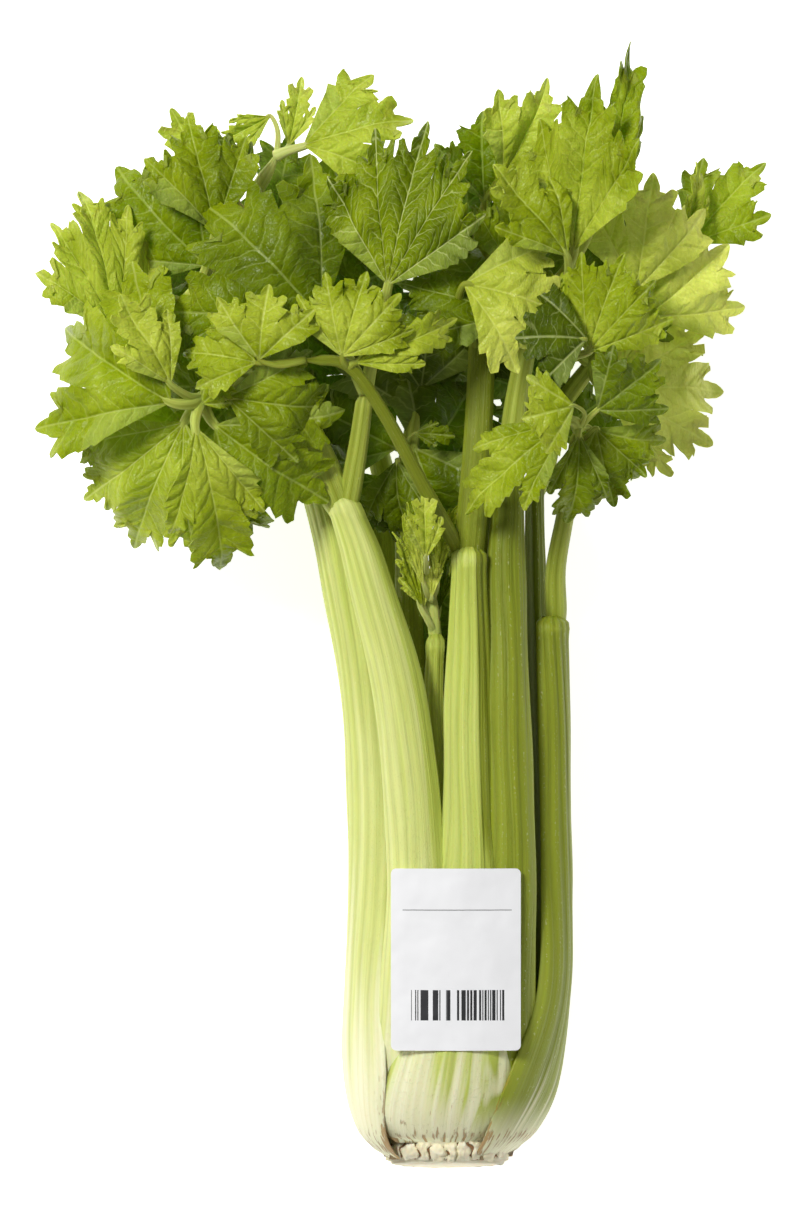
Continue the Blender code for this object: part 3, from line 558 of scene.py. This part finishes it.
def leaf_finish(name, matt, frost):
    """Leaf skin with pale main veins, fine side veins, a faint net between them and uneven green."""
    skin = Finish(name, Subsurface_Weight=0.15, Subsurface_Scale=0.002, Subsurface_Radius=(0.6, 1.0, 0.1),
                  Specular_IOR_Level=0.17)
    vein, rib, share, tone, bold, *flat = map(skin.attribute, LEAF_FIELDS)
    spot = skin.vector(*flat)
    patch = skin.noise(spot, 0.06, 3.0)
    wander = skin.noise(spot, 0.15, 2.0) - 0.5
    fine = skin.noise(spot, 1.1, 3.0)
    side = rib + 1.1 * wander
    twig = 3.0 * rib + 0.35 * vein + 2.0 * wander
    side_gap = abs(side - skin.math("ROUND", side))
    twig_gap = abs(twig - skin.math("ROUND", twig))
    main = skin.step(vein, 0.6, 0.15)
    branch = skin.step(side_gap, 0.075, 0.01) * skin.step(share, 1.0, 0.5)
    thread = skin.step(twig_gap, 0.12, 0.0) * skin.step(share, 0.15, 0.5)
    net = skin.step(skin.cells(spot, 0.75), 0.1, 0.0)
    lines = skin.math("MAXIMUM", main, skin.math("MAXIMUM", branch * 0.6, thread * 0.3))
    depth = tone + 0.6 * (patch - 0.5) + 0.1 * (fine - 0.5)
    green = skin.ramp(depth, (0.0, paint(76, 92, 0)), (1.0, paint(222, 230, 104)), (0.25, paint(112, 130, 4)),
                      (0.5, paint(146, 162, 24)), (0.75, paint(180, 193, 64)))
    body = skin.shade(green, 0.95 + 0.42 * (patch - 0.5) - 0.05 * net + 0.16 * (fine - 0.5))
    body = skin.blend(frost, body, paint(180, 196, 110))
    vein_tint = skin.blend(0.3 + 0.5 * bold, skin.shade(body, 1.45), paint(214, 222, 146))
    body = skin.blend(lines * (0.35 + 0.5 * bold), body, vein_tint)
    puff = skin.step(side_gap, 0.0, 0.4) * skin.step(vein, 0.0, 1.5)
    crumple = skin.noise(spot, 0.24, 3.0)
    relief = skin.bump(1.2 * puff + 3.4 * crumple + 0.45 * fine - 0.2 * net + 0.3 * thread, 0.3)
    return skin.set(Base_Color=body, Roughness=matt + 0.15 * (patch - 0.5), Normal=relief)


def heel_finish():
    """Cut, drying flesh: cream with brown edges and cracks."""
    flesh = Finish("cut_heel_flesh", Specular_IOR_Level=0.3, **FLESH)
    place, crack = flesh.place(), flesh.attribute("crack")
    grain = flesh.noise(place, 260.0, 4.0)
    spots = flesh.noise(place, 700.0, 3.0)
    body = flesh.blend(grain, paint(222, 206, 152), paint(255, 251, 232))
    brown = flesh.step(crack + 0.55 * (grain - 0.5) + 0.35 * (spots - 0.5), 0.42, 0.7)
    body = flesh.blend(brown * 0.9, body, paint(134, 86, 34))
    relief = flesh.bump(grain + 0.4 * spots - 0.6 * brown, 0.9)
    return flesh.set(Base_Color=body, Roughness=0.6 + 0.15 * grain, Normal=relief)


def label_finish():
    """White coated paper with a thin printed rule and a block of plain bars."""
    paper = Finish("label_paper_white", Specular_IOR_Level=0.4)
    across, up = paper.attribute("across"), paper.attribute("up")
    crumple = paper.noise(paper.vector(across * 3, up * 4, 0.0), 1.0, 2.0)
    grain = paper.noise(paper.place(), 900.0, 2.0)
    rule = paper.band(across, RULE_ACROSS, 0.004) * paper.step(abs(up - RULE_UP), 0.003, 0.0018)
    bars = paper.node("TexWhiteNoise", {"noise_dimensions": "1D"},
                      {"W": paper.math("FLOOR", across * BARS) + 0.5}, "Value")
    block = paper.band(across, BARS_ACROSS, 0.002) * paper.band(up, BARS_UP, 0.002)
    ink = paper.math("MAXIMUM", rule * 0.85, block * paper.step(bars, 0.46, 0.5))
    white = paper.shade(paint(243, 243, 244), 0.94 + 0.08 * crumple)
    return paper.set(Base_Color=paper.blend(ink, white, paint(44, 44, 46)), Roughness=0.42 + 0.1 * grain,
                     Normal=paper.bump(crumple * 3 + 0.02 * grain, 0.3))


# Pieces


def show(name, data):
    """An object in the scene for a mesh, lamp or camera."""
    thing = bpy.data.objects.new(name, data)
    bpy.context.scene.collection.objects.link(thing)
    return thing


class Piece:
    """A mesh in the making, in millimetres, that becomes one piece of the scene."""

    def __init__(self, *fields):
        self.bm = bmesh.new()
        self.layers = {name: self.bm.verts.layers.float.new(name) for name in fields}

    def fresh(self, before):
        """The vertices made since there were so many before."""
        self.bm.verts.ensure_lookup_table()
        return self.bm.verts[before:]

    def tube(self, rings, sides, place):
        """A closed tube. place(t, turn) gives the point t of the way along it, and its fields."""
        before = len(self.bm.verts)
        made = bmesh.ops.create_cone(self.bm, cap_ends=True, segments=sides, radius1=1, radius2=1, depth=1)
        edges = {e for v in made["verts"] for e in v.link_edges}
        walls = [e for e in edges if abs(e.verts[0].co.z - e.verts[1].co.z) > 0.5]
        bmesh.ops.subdivide_edges(self.bm, edges=walls, cuts=rings)
        for v in self.fresh(before):
            point, fields = place(v.co.z + 0.5, atan2(v.co.y, v.co.x))
            v.co = point
            self.mark(v, fields)

    def mark(self, v, fields):
        """Gives a vertex its fields."""
        for name, value in fields.items():
            v[self.layers[name]] = value

    def face_out(self):
        """Turns the faces of closed shapes outwards."""
        self.bm.normal_update()
        bmesh.ops.recalc_face_normals(self.bm, faces=self.bm.faces)

    def face_up(self, faces, up):
        """Turns the faces of a sheet to the side that up points to."""
        bmesh.ops.recalc_face_normals(self.bm, faces=faces)
        if sum(f.normal.dot(up) * f.calc_area() for f in faces) < 0:
            bmesh.ops.reverse_faces(self.bm, faces=faces)

    def finish(self, name, node, slot, *materials, thickness=None):
        """Places the mesh in the frame as a piece that stands for a node. A sheet gets its thickness, with
        the last material on its under side."""
        bmesh.ops.scale(self.bm, vec=(MM, MM, MM), verts=self.bm.verts)
        bmesh.ops.translate(self.bm, vec=SHIFT, verts=self.bm.verts)
        mesh = bpy.data.meshes.new(name)
        self.bm.to_mesh(mesh)
        self.bm.free()
        mesh.shade_smooth()
        for material in materials:
            mesh.materials.append(material)
        piece = show(name, mesh)
        if thickness:
            wall = piece.modifiers.new("wall", "SOLIDIFY")
            wall.thickness = thickness * MM
            wall.offset = 0
            wall.use_even_offset = False
            wall.material_offset = len(materials) - 1
            walled = piece.evaluated_get(bpy.context.evaluated_depsgraph_get())
            piece.data = bpy.data.meshes.new_from_object(walled)
            piece.data.set_sharp_from_angle(angle=radians(CRISP))
            piece.modifiers.clear()
        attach(piece, "root")
        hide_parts(node)


def stalk_rows(name, rows):
    """A stalk's rows with those of its foot."""
    if name in FULL_FEET:
        return (*FULL_FEET[name], *rows[1:])
    _, x, z, width, facing = rows[0]
    end = FOOT_END.get(name, HEEL_END)
    feet = [(end + up, out * x + HEEL_X, BUNDLE_Z + lift * (z - BUNDLE_Z), share * width, facing)
            for up, out, lift, share in FEET]
    return (*feet, *rows)


def stalk_piece(name, rows, ribs, depth, tone, material):
    """A stalk: a ribbed crescent swept along its rows, with a rounded foot and a swollen joint at its top."""
    rows = stalk_rows(name, rows)
    start, end = rows[0][0], rows[-1][0]
    seed = len(name) * 7.3 + tone * 11
    ridge, rise, deeper_green_and_shade = RIDGES.get(name, (0, 0, 0))
    piece = Piece(*STALK_FIELDS)

    def place(t, turn):
        y = start + (end - start) * t
        x, z, width, facing = glide(rows, y)
        thick, wrap = glide(SECTION, y)
        thick = min(thick, 0.42 * width)
        half = radians(wrap)
        radius = width / 2 / sin(half)
        foot_inset = 0.45 * (1 - min(1, (y - start) / FOOT_ROUND) ** 0.5)
        inset = thick * (foot_inset + 0.3 * (1 - min(1, (end - y) / TOP_ROUND) ** 0.5))
        joint = exp(-((end - y - JOINT_DOWN) / JOINT_LENGTH) ** 2)
        s = (turn / (2 * pi)) % 1
        if s < OUTER_SHARE:
            side = 1 - 2 * s / OUTER_SHARE
            phase = (side + 1) / 2 * ribs + 0.3 * drift(side * 1.5, y / 45, seed)
            crest = 0.75 * abs(sin(pi * phase)) ** 0.7 + 0.25 * abs(sin(3.3 * pi * phase))
            height = depth * (crest - 0.5) * min(1, 4 * (1 - abs(side))) * min(1, y / 40)
            swell = 0.5 * drift(side, y / 26, seed + 5)
            facet = -rise * clamp((y - RIDGE_FROM) / RIDGE_GROWS) * (1 - side**4)
            facet *= min(1, abs(side - ridge) / (0.9 if side < ridge else 0.4))
            reach = radius + height + swell + facet - inset - 1.1 * abs(side) ** 12 + 0.4 * joint
            angle = side * (half - inset / radius)
            # Past the ridge the tone deepens as painted shade on the facet turned from the light; near the
            # foot the right half deepens too.
            past = clamp((side - ridge) / 0.06) * clamp((y - SHEATH_END) / 60)
            shaded = tone + deeper_green_and_shade * (past + clamp(2 * side) * max(0, 1 - y / SHEATH_END))
        else:
            side = -1 + 2 * (s - OUTER_SHARE) / (1 - OUTER_SHARE)
            phase, crest, shaded = side * 2, 0.3, tone
            angle = side * (0.88 * half - inset / radius)
            thin = (0.45 + 0.35 * max(0, 1 - y / SHEATH_END)) * side * side
            reach = radius - thick * (1 - thin) + inset
        across, out = reach * sin(angle), reach * cos(angle) - radius
        face = radians(facing)
        point = Vector((x + across * cos(face) + out * sin(face), y,
                        z - across * sin(face) + out * cos(face)))
        point.z = max(point.z, 0.05)
        seam = max(0, (abs(side) - 0.86) / 0.14)
        shaded += 0.2 * max(0, (y - 140) / 90) - 0.12 * joint
        return point, {"along": y, "around": phase, "crest": crest, "tone": shaded, "seam": seam}

    piece.tube(84, 96, place)
    piece.face_out()
    slot = "heart_yellow" if name.startswith("heart") else "stalk_green"
    piece.finish(name + "_skin", name, slot, material)


def outline(kind, dice):
    """A leaflet's edge from one side of its base to the other, as (angle, radius): the tips of its lobes,
    their shoulders and the notches between them."""
    lobes = LEAF_KINDS[kind]
    half = []
    for k, (centre, length, spread) in enumerate(lobes):
        length *= dice.uniform(0.94, 1.04)
        broad = spread > SHOULDERS_PAST
        if k and broad:
            half += [(centre - 0.8 * spread, 0.9 * length), (centre - 0.48 * spread, 0.84 * length)]
        half.append((centre, length))
        if broad:
            half += [(centre + 0.48 * spread, 0.84 * length), (centre + 0.8 * spread, 0.9 * length)]
        if k + 1 < len(lobes):
            edge = centre + spread
            half.append(((edge + lobes[k + 1][0] - lobes[k + 1][2]) / 2, NOTCHES[kind] * min(length, 1)))
    half.append((lobes[-1][0] + lobes[-1][2] + 4, 0.42))
    return [(-angle, radius) for angle, radius in half[:0:-1]] + half


class Leaflet:
    """One leaflet: the lobes that the frame has, with toothed edges, bent into an arched and puffed sheet.

    Each lobe is made as two halves. A half reaches from the lobe's midrib to its side, and that side follows
    the seam with the next lobe up to the notch between them and the toothed edge from there to the tip.
    """

    # Rows along the seam, rows along the toothed edge and cells across a half, then the side veins' spacing.
    FINE, COARSE = (8, 42, 7), (5, 28, 4)
    VEIN_GAP = 5.2

    def __init__(self, row, seed, coarse=False):
        self.seam_rows, self.edge_rows, self.cells = self.COARSE if coarse else self.FINE
        self.seed = seed
        kind, self.joint, base, tip, roll, self.width, self.arch, self.cup, self.tone = row
        dice = random.Random(seed)
        self.base = Vector(base)
        along = Vector(tip) - self.base
        self.edge = outline(kind, dice)
        self.phase = dice.uniform(0, 6.28)
        self.wave = dice.uniform(0.02, 0.045)
        self.reach, self.axis = along.length, along.normalized()
        flat = (UP - self.axis * UP.dot(self.axis)).normalized()
        side = self.axis.cross(flat)
        turn = radians(roll)
        self.normal = flat * cos(turn) + side * sin(turn)
        self.side = self.axis.cross(self.normal)
        self.lobes = sorted({sign * centre for centre, _, _ in LEAF_KINDS[kind] for sign in (-1, 1)})
        self.rim = [mark if mark[1] >= min(low[1], high[1]) else (mark[0], 0.9 * mark[1])
                    for low, mark, high in zip(self.edge, self.edge[1:], self.edge[2:])]
        self.rim = [self.edge[0], *self.rim, self.edge[-1]]
        self.tips = [i for i, (angle, _) in enumerate(self.edge) if angle in self.lobes]
        self.bold = BOLD_LEAVES.get(tip, FAINT)
        self.bends = [dice.uniform(-0.22, 0.12) for _ in self.tips]
        self.fold = dice.uniform(0.14, 0.4)
        self.ruffle = dice.uniform(0.012, 0.04)
        self.fade = dice.uniform(-0.18, 0.18)
        self.tooth = WIDE_TEETH.get(tip, dice.uniform(4.4, 6.6))

    def height(self, along, across):
        """The frame's height over the leaflet's plane: an arch along it, a cup across it and a wavy edge."""
        radius, turn = hypot(along, across), atan2(across, along)
        across *= self.width
        return (self.arch * 4 * along * (1 - along) + self.cup * abs(across) - 0.35 * across * across
                + self.wave * radius * radius * cos(4.5 * turn + self.phase))

    def point(self, along, across, lift=0.0):
        """A point of the sheet, from shares of its length along its axis, across it and over the height."""
        height = self.height(along, across) + lift
        return self.base + (self.axis * along + self.side * across * self.width
                            + self.normal * height) * self.reach

    def settle(self, tree):
        """Raises it over its neighbours as far as the frame's leaflet is: to where most tips match that."""
        tips = [self.point(*flat_point(*mark)) for mark in self.edge]
        found = [sum(tree.find(tip + UP * rise)[2] < NEAR for tip in tips) for rise in range(MOST_RISE)]
        self.base.z += found.index(max(found))

    def notch(self, k, side):
        """Where in the edge lobe k ends, on the side -1 or 1."""
        if not 0 <= k + side < len(self.tips):
            return 0 if side < 0 else len(self.edge) - 1
        between = range(*sorted((self.tips[k], self.tips[k + side])))
        return min(between, key=lambda i: self.edge[i][1])

    def margin(self, path, inside):
        """The toothed edge along a path from a notch to a lobe's tip, bulging away from a point inside."""
        spans = [(b - a).length for a, b in zip(path, path[1:])]
        teeth = max(2, round(sum(spans) * self.reach / self.tooth))
        points = []
        for i in range(1, self.edge_rows + 1):
            way, k = sum(spans) * i / self.edge_rows, 0
            while k < len(spans) - 1 and way > spans[k]:
                way -= spans[k]
                k += 1
            a, b, t = path[k], path[k + 1], min(1, way / spans[k])
            out = Vector((b.y - a.y, a.x - b.x)) / spans[k]
            if out.dot((a + b) / 2 - inside) < 0:
                out = -out
            flank = 0.07 * spans[k] * 4 * t * (1 - t)
            count = teeth * i / self.edge_rows
            saw = (count % 1) ** 0.7 - 0.5 + 0.08 * ((2.6 * count) % 1)
            size = max(0.15, 0.9 + 1.3 * drift(i / 9, a.x * 40, self.seed))
            deep = 1.0 + 0.22 * self.tooth
            tooth = deep / self.reach * saw * size * sin(pi * i / self.edge_rows) ** 0.5
            points.append(a.lerp(b, t) + out * (flank + tooth))
        return points

    def relief(self, flat, row, share, own, other):
        """What folds, bent lobes, a ruffled margin and uneven skin add to the height at a point of a half."""
        radius, turn = flat.length, degrees(atan2(flat.y, flat.x))
        near = min(abs(turn - lobe) for lobe in self.lobes)
        past = max(0, row - self.seam_rows) / self.edge_rows
        mix = share * max(0, 1 - past * 5) / 2
        bend = (own + (other - own) * mix) * radius ** 2.5
        fold = self.fold * radius * sin(radians(near)) * (1 - 0.5 * past)
        ruffle = self.ruffle * share**3 * min(1, past * 4) * (1 - past**6)
        ruffle *= sin(14 * past + turn / 6 + self.phase)
        spot = flat * self.reach
        rough = 0.15 * radius * drift(spot.x / 15, spot.y / 15, self.seed)
        rough += 0.022 * radius * drift(spot.x / 5, spot.y / 5, self.seed + 9)
        return bend + fold + ruffle + rough

    def half_lobe(self, piece, k, side):
        """Adds the half of lobe k on its side -1 or 1."""
        top, end = self.tips[k], self.notch(k, side)
        path = [flat_point(*self.rim[i]) for i in range(end, top - side, -side)]
        tip = path[-1]
        seam = [path[0] * (j / self.seam_rows) for j in range(self.seam_rows + 1)]
        sides = seam + self.margin(path, tip * 0.6)
        low = 0.72 * path[0].length / tip.length
        own = self.bends[k]
        other = self.bends[k + side] if 0 <= k + side < len(self.bends) else own
        rows = self.seam_rows + self.edge_rows
        made = bmesh.ops.create_grid(piece.bm, x_segments=self.cells, y_segments=rows, size=0.5)
        for v in made["verts"]:
            share, row = v.co.x + 0.5, round((v.co.y + 0.5) * rows)
            past = (row - self.seam_rows) / self.edge_rows
            way = low * row / self.seam_rows if row < self.seam_rows else low + (1 - low) * past**0.9
            flat = (tip * way).lerp(sides[row], share)
            rib = way * tip.length * self.reach / self.VEIN_GAP
            lift = self.relief(flat, row, share, own, other)
            lift += 0.004 * sin(pi * rib) ** 2 * 4 * share * (1 - share) * (1 - max(0, past))
            v.co = self.point(flat.x, flat.y, lift)
            vein = share * (sides[row] - tip * way).length * self.reach
            tone = self.tone + self.fade * (2 * flat.length - 1)
            piece.mark(v, {"vein": vein, "rib": rib, "share": share, "tone": tone, "bold": self.bold,
                           "flat_x": flat.x * self.reach, "flat_y": flat.y * self.reach,
                           "seed": self.seed * 1.7})

    def add_to(self, piece):
        """Adds all its lobes, joined along their seams and midribs."""
        before = len(piece.bm.verts)
        for k in range(len(self.tips)):
            for side in (-1, 1):
                self.half_lobe(piece, k, side)
        bmesh.ops.remove_doubles(piece.bm, verts=piece.fresh(before), dist=0.01)
        piece.face_up(list({f for v in piece.fresh(before) for f in v.link_faces}), self.normal)


def flat_point(angle, radius):
    """A place on a leaflet's plane: how far along its axis and how far across."""
    return Vector((radius * cos(radians(angle)), radius * sin(radians(angle))))


def stem_tube(piece, points, tone, ribs, sides=20, steps=8):
    """A stem through (x, y, z, radius) points, with ribs and a channel along its upper side."""
    rows = [(i, *point) for i, point in enumerate(points)]
    count = len(points) - 1

    def at(t):
        return glide(rows, min(count, max(0.0, t)))

    def place(t, turn):
        here = t * count
        x, y, z, radius = at(here)
        ahead, behind = at(here + 0.05), at(here - 0.05)
        axis = (Vector(ahead[:3]) - Vector(behind[:3])).normalized()
        out = (UP - axis * UP.dot(axis)).normalized()
        side = axis.cross(out)
        crest = abs(cos(ribs * turn / 2)) ** 0.8
        channel = 0.16 * max(0, sin(turn)) ** 6
        round_off = min(1, 0.35 + 9 * (1 - t)) if t > 0.92 else 1
        reach = radius * (0.95 + 0.07 * crest - channel) * round_off
        point = Vector((x, y, z)) + (side * cos(turn) + out * sin(turn)) * reach
        return point, {"along": SHEATH_END + y, "around": ribs * turn / pi, "crest": crest,
                       "tone": tone, "seam": 0}

    piece.tube(steps * count, sides, place)


def rooted(stem):
    """A frond's stem with a root that runs down inside its stalk."""
    first, second = Vector(stem[0][:3]), Vector(stem[1][:3])
    root = first - (second - first).normalized() * ROOT_LENGTH - UP * ROOT_DROP
    return ((*root, 0.6 * stem[0][3]), *stem)


def petiole(stem, leaflet):
    """The thin stem from the frond's main stem to the leaflet's base and a little up its midrib."""
    start, radius = Vector(stem[leaflet.joint][:3]), stem[leaflet.joint][3]
    end = leaflet.base
    into = leaflet.axis * 0.5 * (end - start).length
    thin = min(1.6, 0.034 * leaflet.reach)
    down = leaflet.normal * (-0.5 * thin)
    return ((*start, min(radius, 1.6 * thin)), (*(start.lerp(end, 0.55) - 0.25 * into), 1.25 * thin),
            (*(end + down), thin), (*(leaflet.point(0.14, 0) + down), 0.6 * thin))


def frond_pieces(n, name, stem, rows, skin, leaf_sides):
    """A leafy top: one piece for its leaflets and one for its stems."""
    slots = ("heart_yellow", "heart_yellow") if name.startswith("heart") else ("leaf_green", "stalk_green")
    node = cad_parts[name]
    tree = kdtree.KDTree(len(node.data.vertices))
    for i, v in enumerate(node.data.vertices):
        tree.insert((v.co - SHIFT) / MM, i)
    tree.balance()
    leaflets = [Leaflet(row, FROND_SEEDS * n + k) for k, row in enumerate(rows)]
    for leaflet in leaflets:
        leaflet.settle(tree)
    # Then the filling leaflets, the dark ones first, which are painted shade.
    for deep in (True, False):
        leaflets += [Leaflet(row, FROND_SEEDS * n + SHADE_SEEDS + k, deep)
                     for k, row in enumerate(SHADE_LEAVES.get(name, ())) if (row[-1] < DEEP_SHADE) == deep]
    leaves, stems = Piece(*LEAF_FIELDS), Piece(*STALK_FIELDS)
    tone = STEM_TONES.get(name, STEM_TONE)
    stem_tube(stems, rooted(stem), tone, 7)
    for leaflet in leaflets:
        leaflet.add_to(leaves)
        stem_tube(stems, petiole(stem, leaflet), 0.8 * tone, 5, 12, 5)
    stems.face_out()
    stems.finish(name + "_stems", name, slots[1], skin)
    leaves.finish(name + "_leaves", name, slots[0], *leaf_sides, thickness=BLADE)


def heel_piece(material):
    """The cut end of the stem, with a rough face and the scars of the stalks that were trimmed off."""
    wide, tall, length = HEEL_SIZE
    piece = Piece("crack")

    def ring(turn, grow, middle, y):
        return Vector((cos(turn) * grow * wide + middle, y, sin(turn) * grow * tall + BUNDLE_Z))

    def face(t, turn):
        swell = 1 + 0.05 * sin(5 * turn) + 0.03 * sin(9 * turn + 1)
        narrow = 1 - 0.28 * t
        bulge = narrow * (1 + 0.1 * cos(pi * (t - 0.5)))
        slope = 0.12 * sin(turn) * (1 - t)
        spot = Vector((3 * cos(turn), 3 * sin(turn), 4 * t))
        rough = 1 + 0.03 * noise.noise(spot) + 0.02 * noise.noise(spot * 3)
        if t < 0.06:
            rough *= 0.93
        y = t * length + slope * wide + 0.4 * noise.noise(spot * 2)
        return ring(turn, swell * bulge * rough, HEEL_MIDDLE, y), {"crack": 0.2 + 0.9 * max(0, t - 0.12)}

    def core(t, turn):
        middle, start, reach = CORE
        spot = Vector((2 * cos(turn), 2 * sin(turn), 3 * t))
        rough = 1 + 0.05 * noise.noise(spot) + 0.03 * sin(8 * turn)
        grow = 0.82 + 0.42 * sin(pi * min(1, 0.15 + 0.6 * t))
        return ring(turn, grow * rough, middle, start + reach * t), {"crack": 0.3 - 0.2 * t}

    def scars(t, turn):
        start, reach, low, high, scar = SCARS
        x = start + reach * t
        across = (x - HEEL_MIDDLE) / wide
        ends = min(1, 7 * t, 7 * (1 - t)) ** 0.5
        point = Vector((x, low + 0.6 * sin(0.35 * x) + 4.0 * ends * sin(turn),
                        high - 9 * across * across + 4.2 * ends * cos(turn)))
        cell = x / scar + 0.55 * drift(x / 5, point.y / 4, 3)
        edge = scar * abs(cell - round(cell))
        groove = max(0, 1 - edge / 0.75)
        lump = 0.8 * drift(7.3 * floor(cell + 0.5), 0, 1) + 0.6 * noise.noise(point * 0.7)
        out = Vector((0, sin(turn), cos(turn)))
        crack = 0.8 * groove + 0.75 * max(0, abs(sin(turn)) - 0.6) + 0.5 * noise.noise(point * 0.5)
        return point + out * (lump - 1.3 * groove), {"crack": crack}

    piece.tube(18, 110, face)
    piece.tube(20, 72, core)
    piece.tube(130, 48, scars)
    piece.face_out()
    piece.finish("heel_cut", "heel", "cut_heel", material)


def label_piece(material):
    """The paper label, bent over the front stalks with the soft creases of thin paper."""
    piece = Piece("across", "up")
    bm = piece.bm
    wide, tall = LABEL_SIZE
    bmesh.ops.create_grid(bm, x_segments=LABEL_CELLS[0], y_segments=LABEL_CELLS[1], size=0.5)
    bmesh.ops.scale(bm, vec=(wide, tall, 1), verts=bm.verts)
    cell = wide / LABEL_CELLS[0]
    corners = [v for v in bm.verts if len(v.link_edges) == 2]
    bmesh.ops.bevel(bm, geom=corners, offset=min(LABEL_CORNER, 0.98 * cell), offset_type="OFFSET", segments=7,
                    profile=0.5, affect="VERTICES", material=-1)
    bmesh.ops.triangulate(bm, faces=[f for f in bm.faces if len(f.verts) != 4])
    for v in bm.verts:
        x, y, _ = v.co
        piece.mark(v, {"across": x / wide + 0.5, "up": y / tall + 0.5})
        crease = 0.35 * drift(x / 12, y / 16, 2) + 0.1 * drift(x / 4, y / 6, 5)
        v.co = Vector((x + LABEL_MIDDLE[0], y + LABEL_MIDDLE[1], LABEL_Z - x * x / (2 * LABEL_BEND) + crease))
    piece.face_up(list(bm.faces), UP)
    piece.finish("label_sheet", "label", "label_paper", material, thickness=PAPER)


# Surroundings


def add_camera():
    camera = bpy.data.cameras.new("camera")
    camera.sensor_fit = "VERTICAL"
    camera.sensor_height = SENSOR
    camera.lens = SENSOR * (CAMERA_HEIGHT - VIEW_LEVEL) / VIEW_SPAN
    eye = show("camera", camera)
    eye.location = SHIFT + Vector((*VIEW_MIDDLE, CAMERA_HEIGHT)) * MM
    bpy.context.scene.camera = eye


def add_floor():
    bm = bmesh.new()
    bmesh.ops.create_grid(bm, x_segments=1, y_segments=1, size=TABLE_HALF)
    mesh = bpy.data.meshes.new("table")
    bm.to_mesh(mesh)
    bm.free()
    table = show("table", mesh)
    # The table glows a little, as painted light, so that it stays white and shadows on it stay pale.
    white = Finish("glowing_white_table", Roughness=0.9, Specular_IOR_Level=0.1, Emission_Color=(1, 1, 1, 1),
                   Emission_Strength=0.8)
    mesh.materials.append(white.set(Base_Color=paint(248, 248, 248)))


def add_light(name, place, size, power):
    """A square light at a place, in metres from the middle of the head, that looks at it."""
    light = bpy.data.lights.new(name, "AREA")
    light.shape = "SQUARE"
    light.size = size
    light.energy = power
    lamp = show(name, light)
    middle = SHIFT + Vector((*VIEW_MIDDLE, VIEW_LEVEL)) * MM
    lamp.location = middle + Vector(place)
    lamp.rotation_euler = (-Vector(place)).to_track_quat("-Z", "Y").to_euler()


def add_surroundings():
    """The camera, the pale table, which glows a little as painted light, two lights and an even sky."""
    add_camera()
    add_floor()
    add_light("key", (-0.95, 0.85, 1.85), 0.55, 43.0)
    add_light("fill", (1.3, -0.5, 1.6), 1.6, 3.5)
    world = bpy.data.worlds.new("studio")
    world.use_nodes = True
    sky = world.node_tree.nodes["Background"]
    sky.inputs["Color"].default_value = (1, 1, 1, 1)
    sky.inputs["Strength"].default_value = 0.25
    bpy.context.scene.world = world
    bpy.context.scene.view_settings.view_transform = "Standard"


def main():
    skin = stalk_finish()
    leaf_sides = leaf_finish("leaf_upper_side", 0.32, 0.0), leaf_finish("leaf_under_side", 0.5, 0.2)
    for name, rows in STALKS.items():
        stalk_piece(name, rows, *STALK_LOOKS[name], skin)
    for n, (name, (stem, *rows)) in enumerate(FRONDS.items()):
        frond_pieces(n, name, stem, rows, skin, leaf_sides)
    heel_piece(heel_finish())
    label_piece(label_finish())
    add_surroundings()


main()
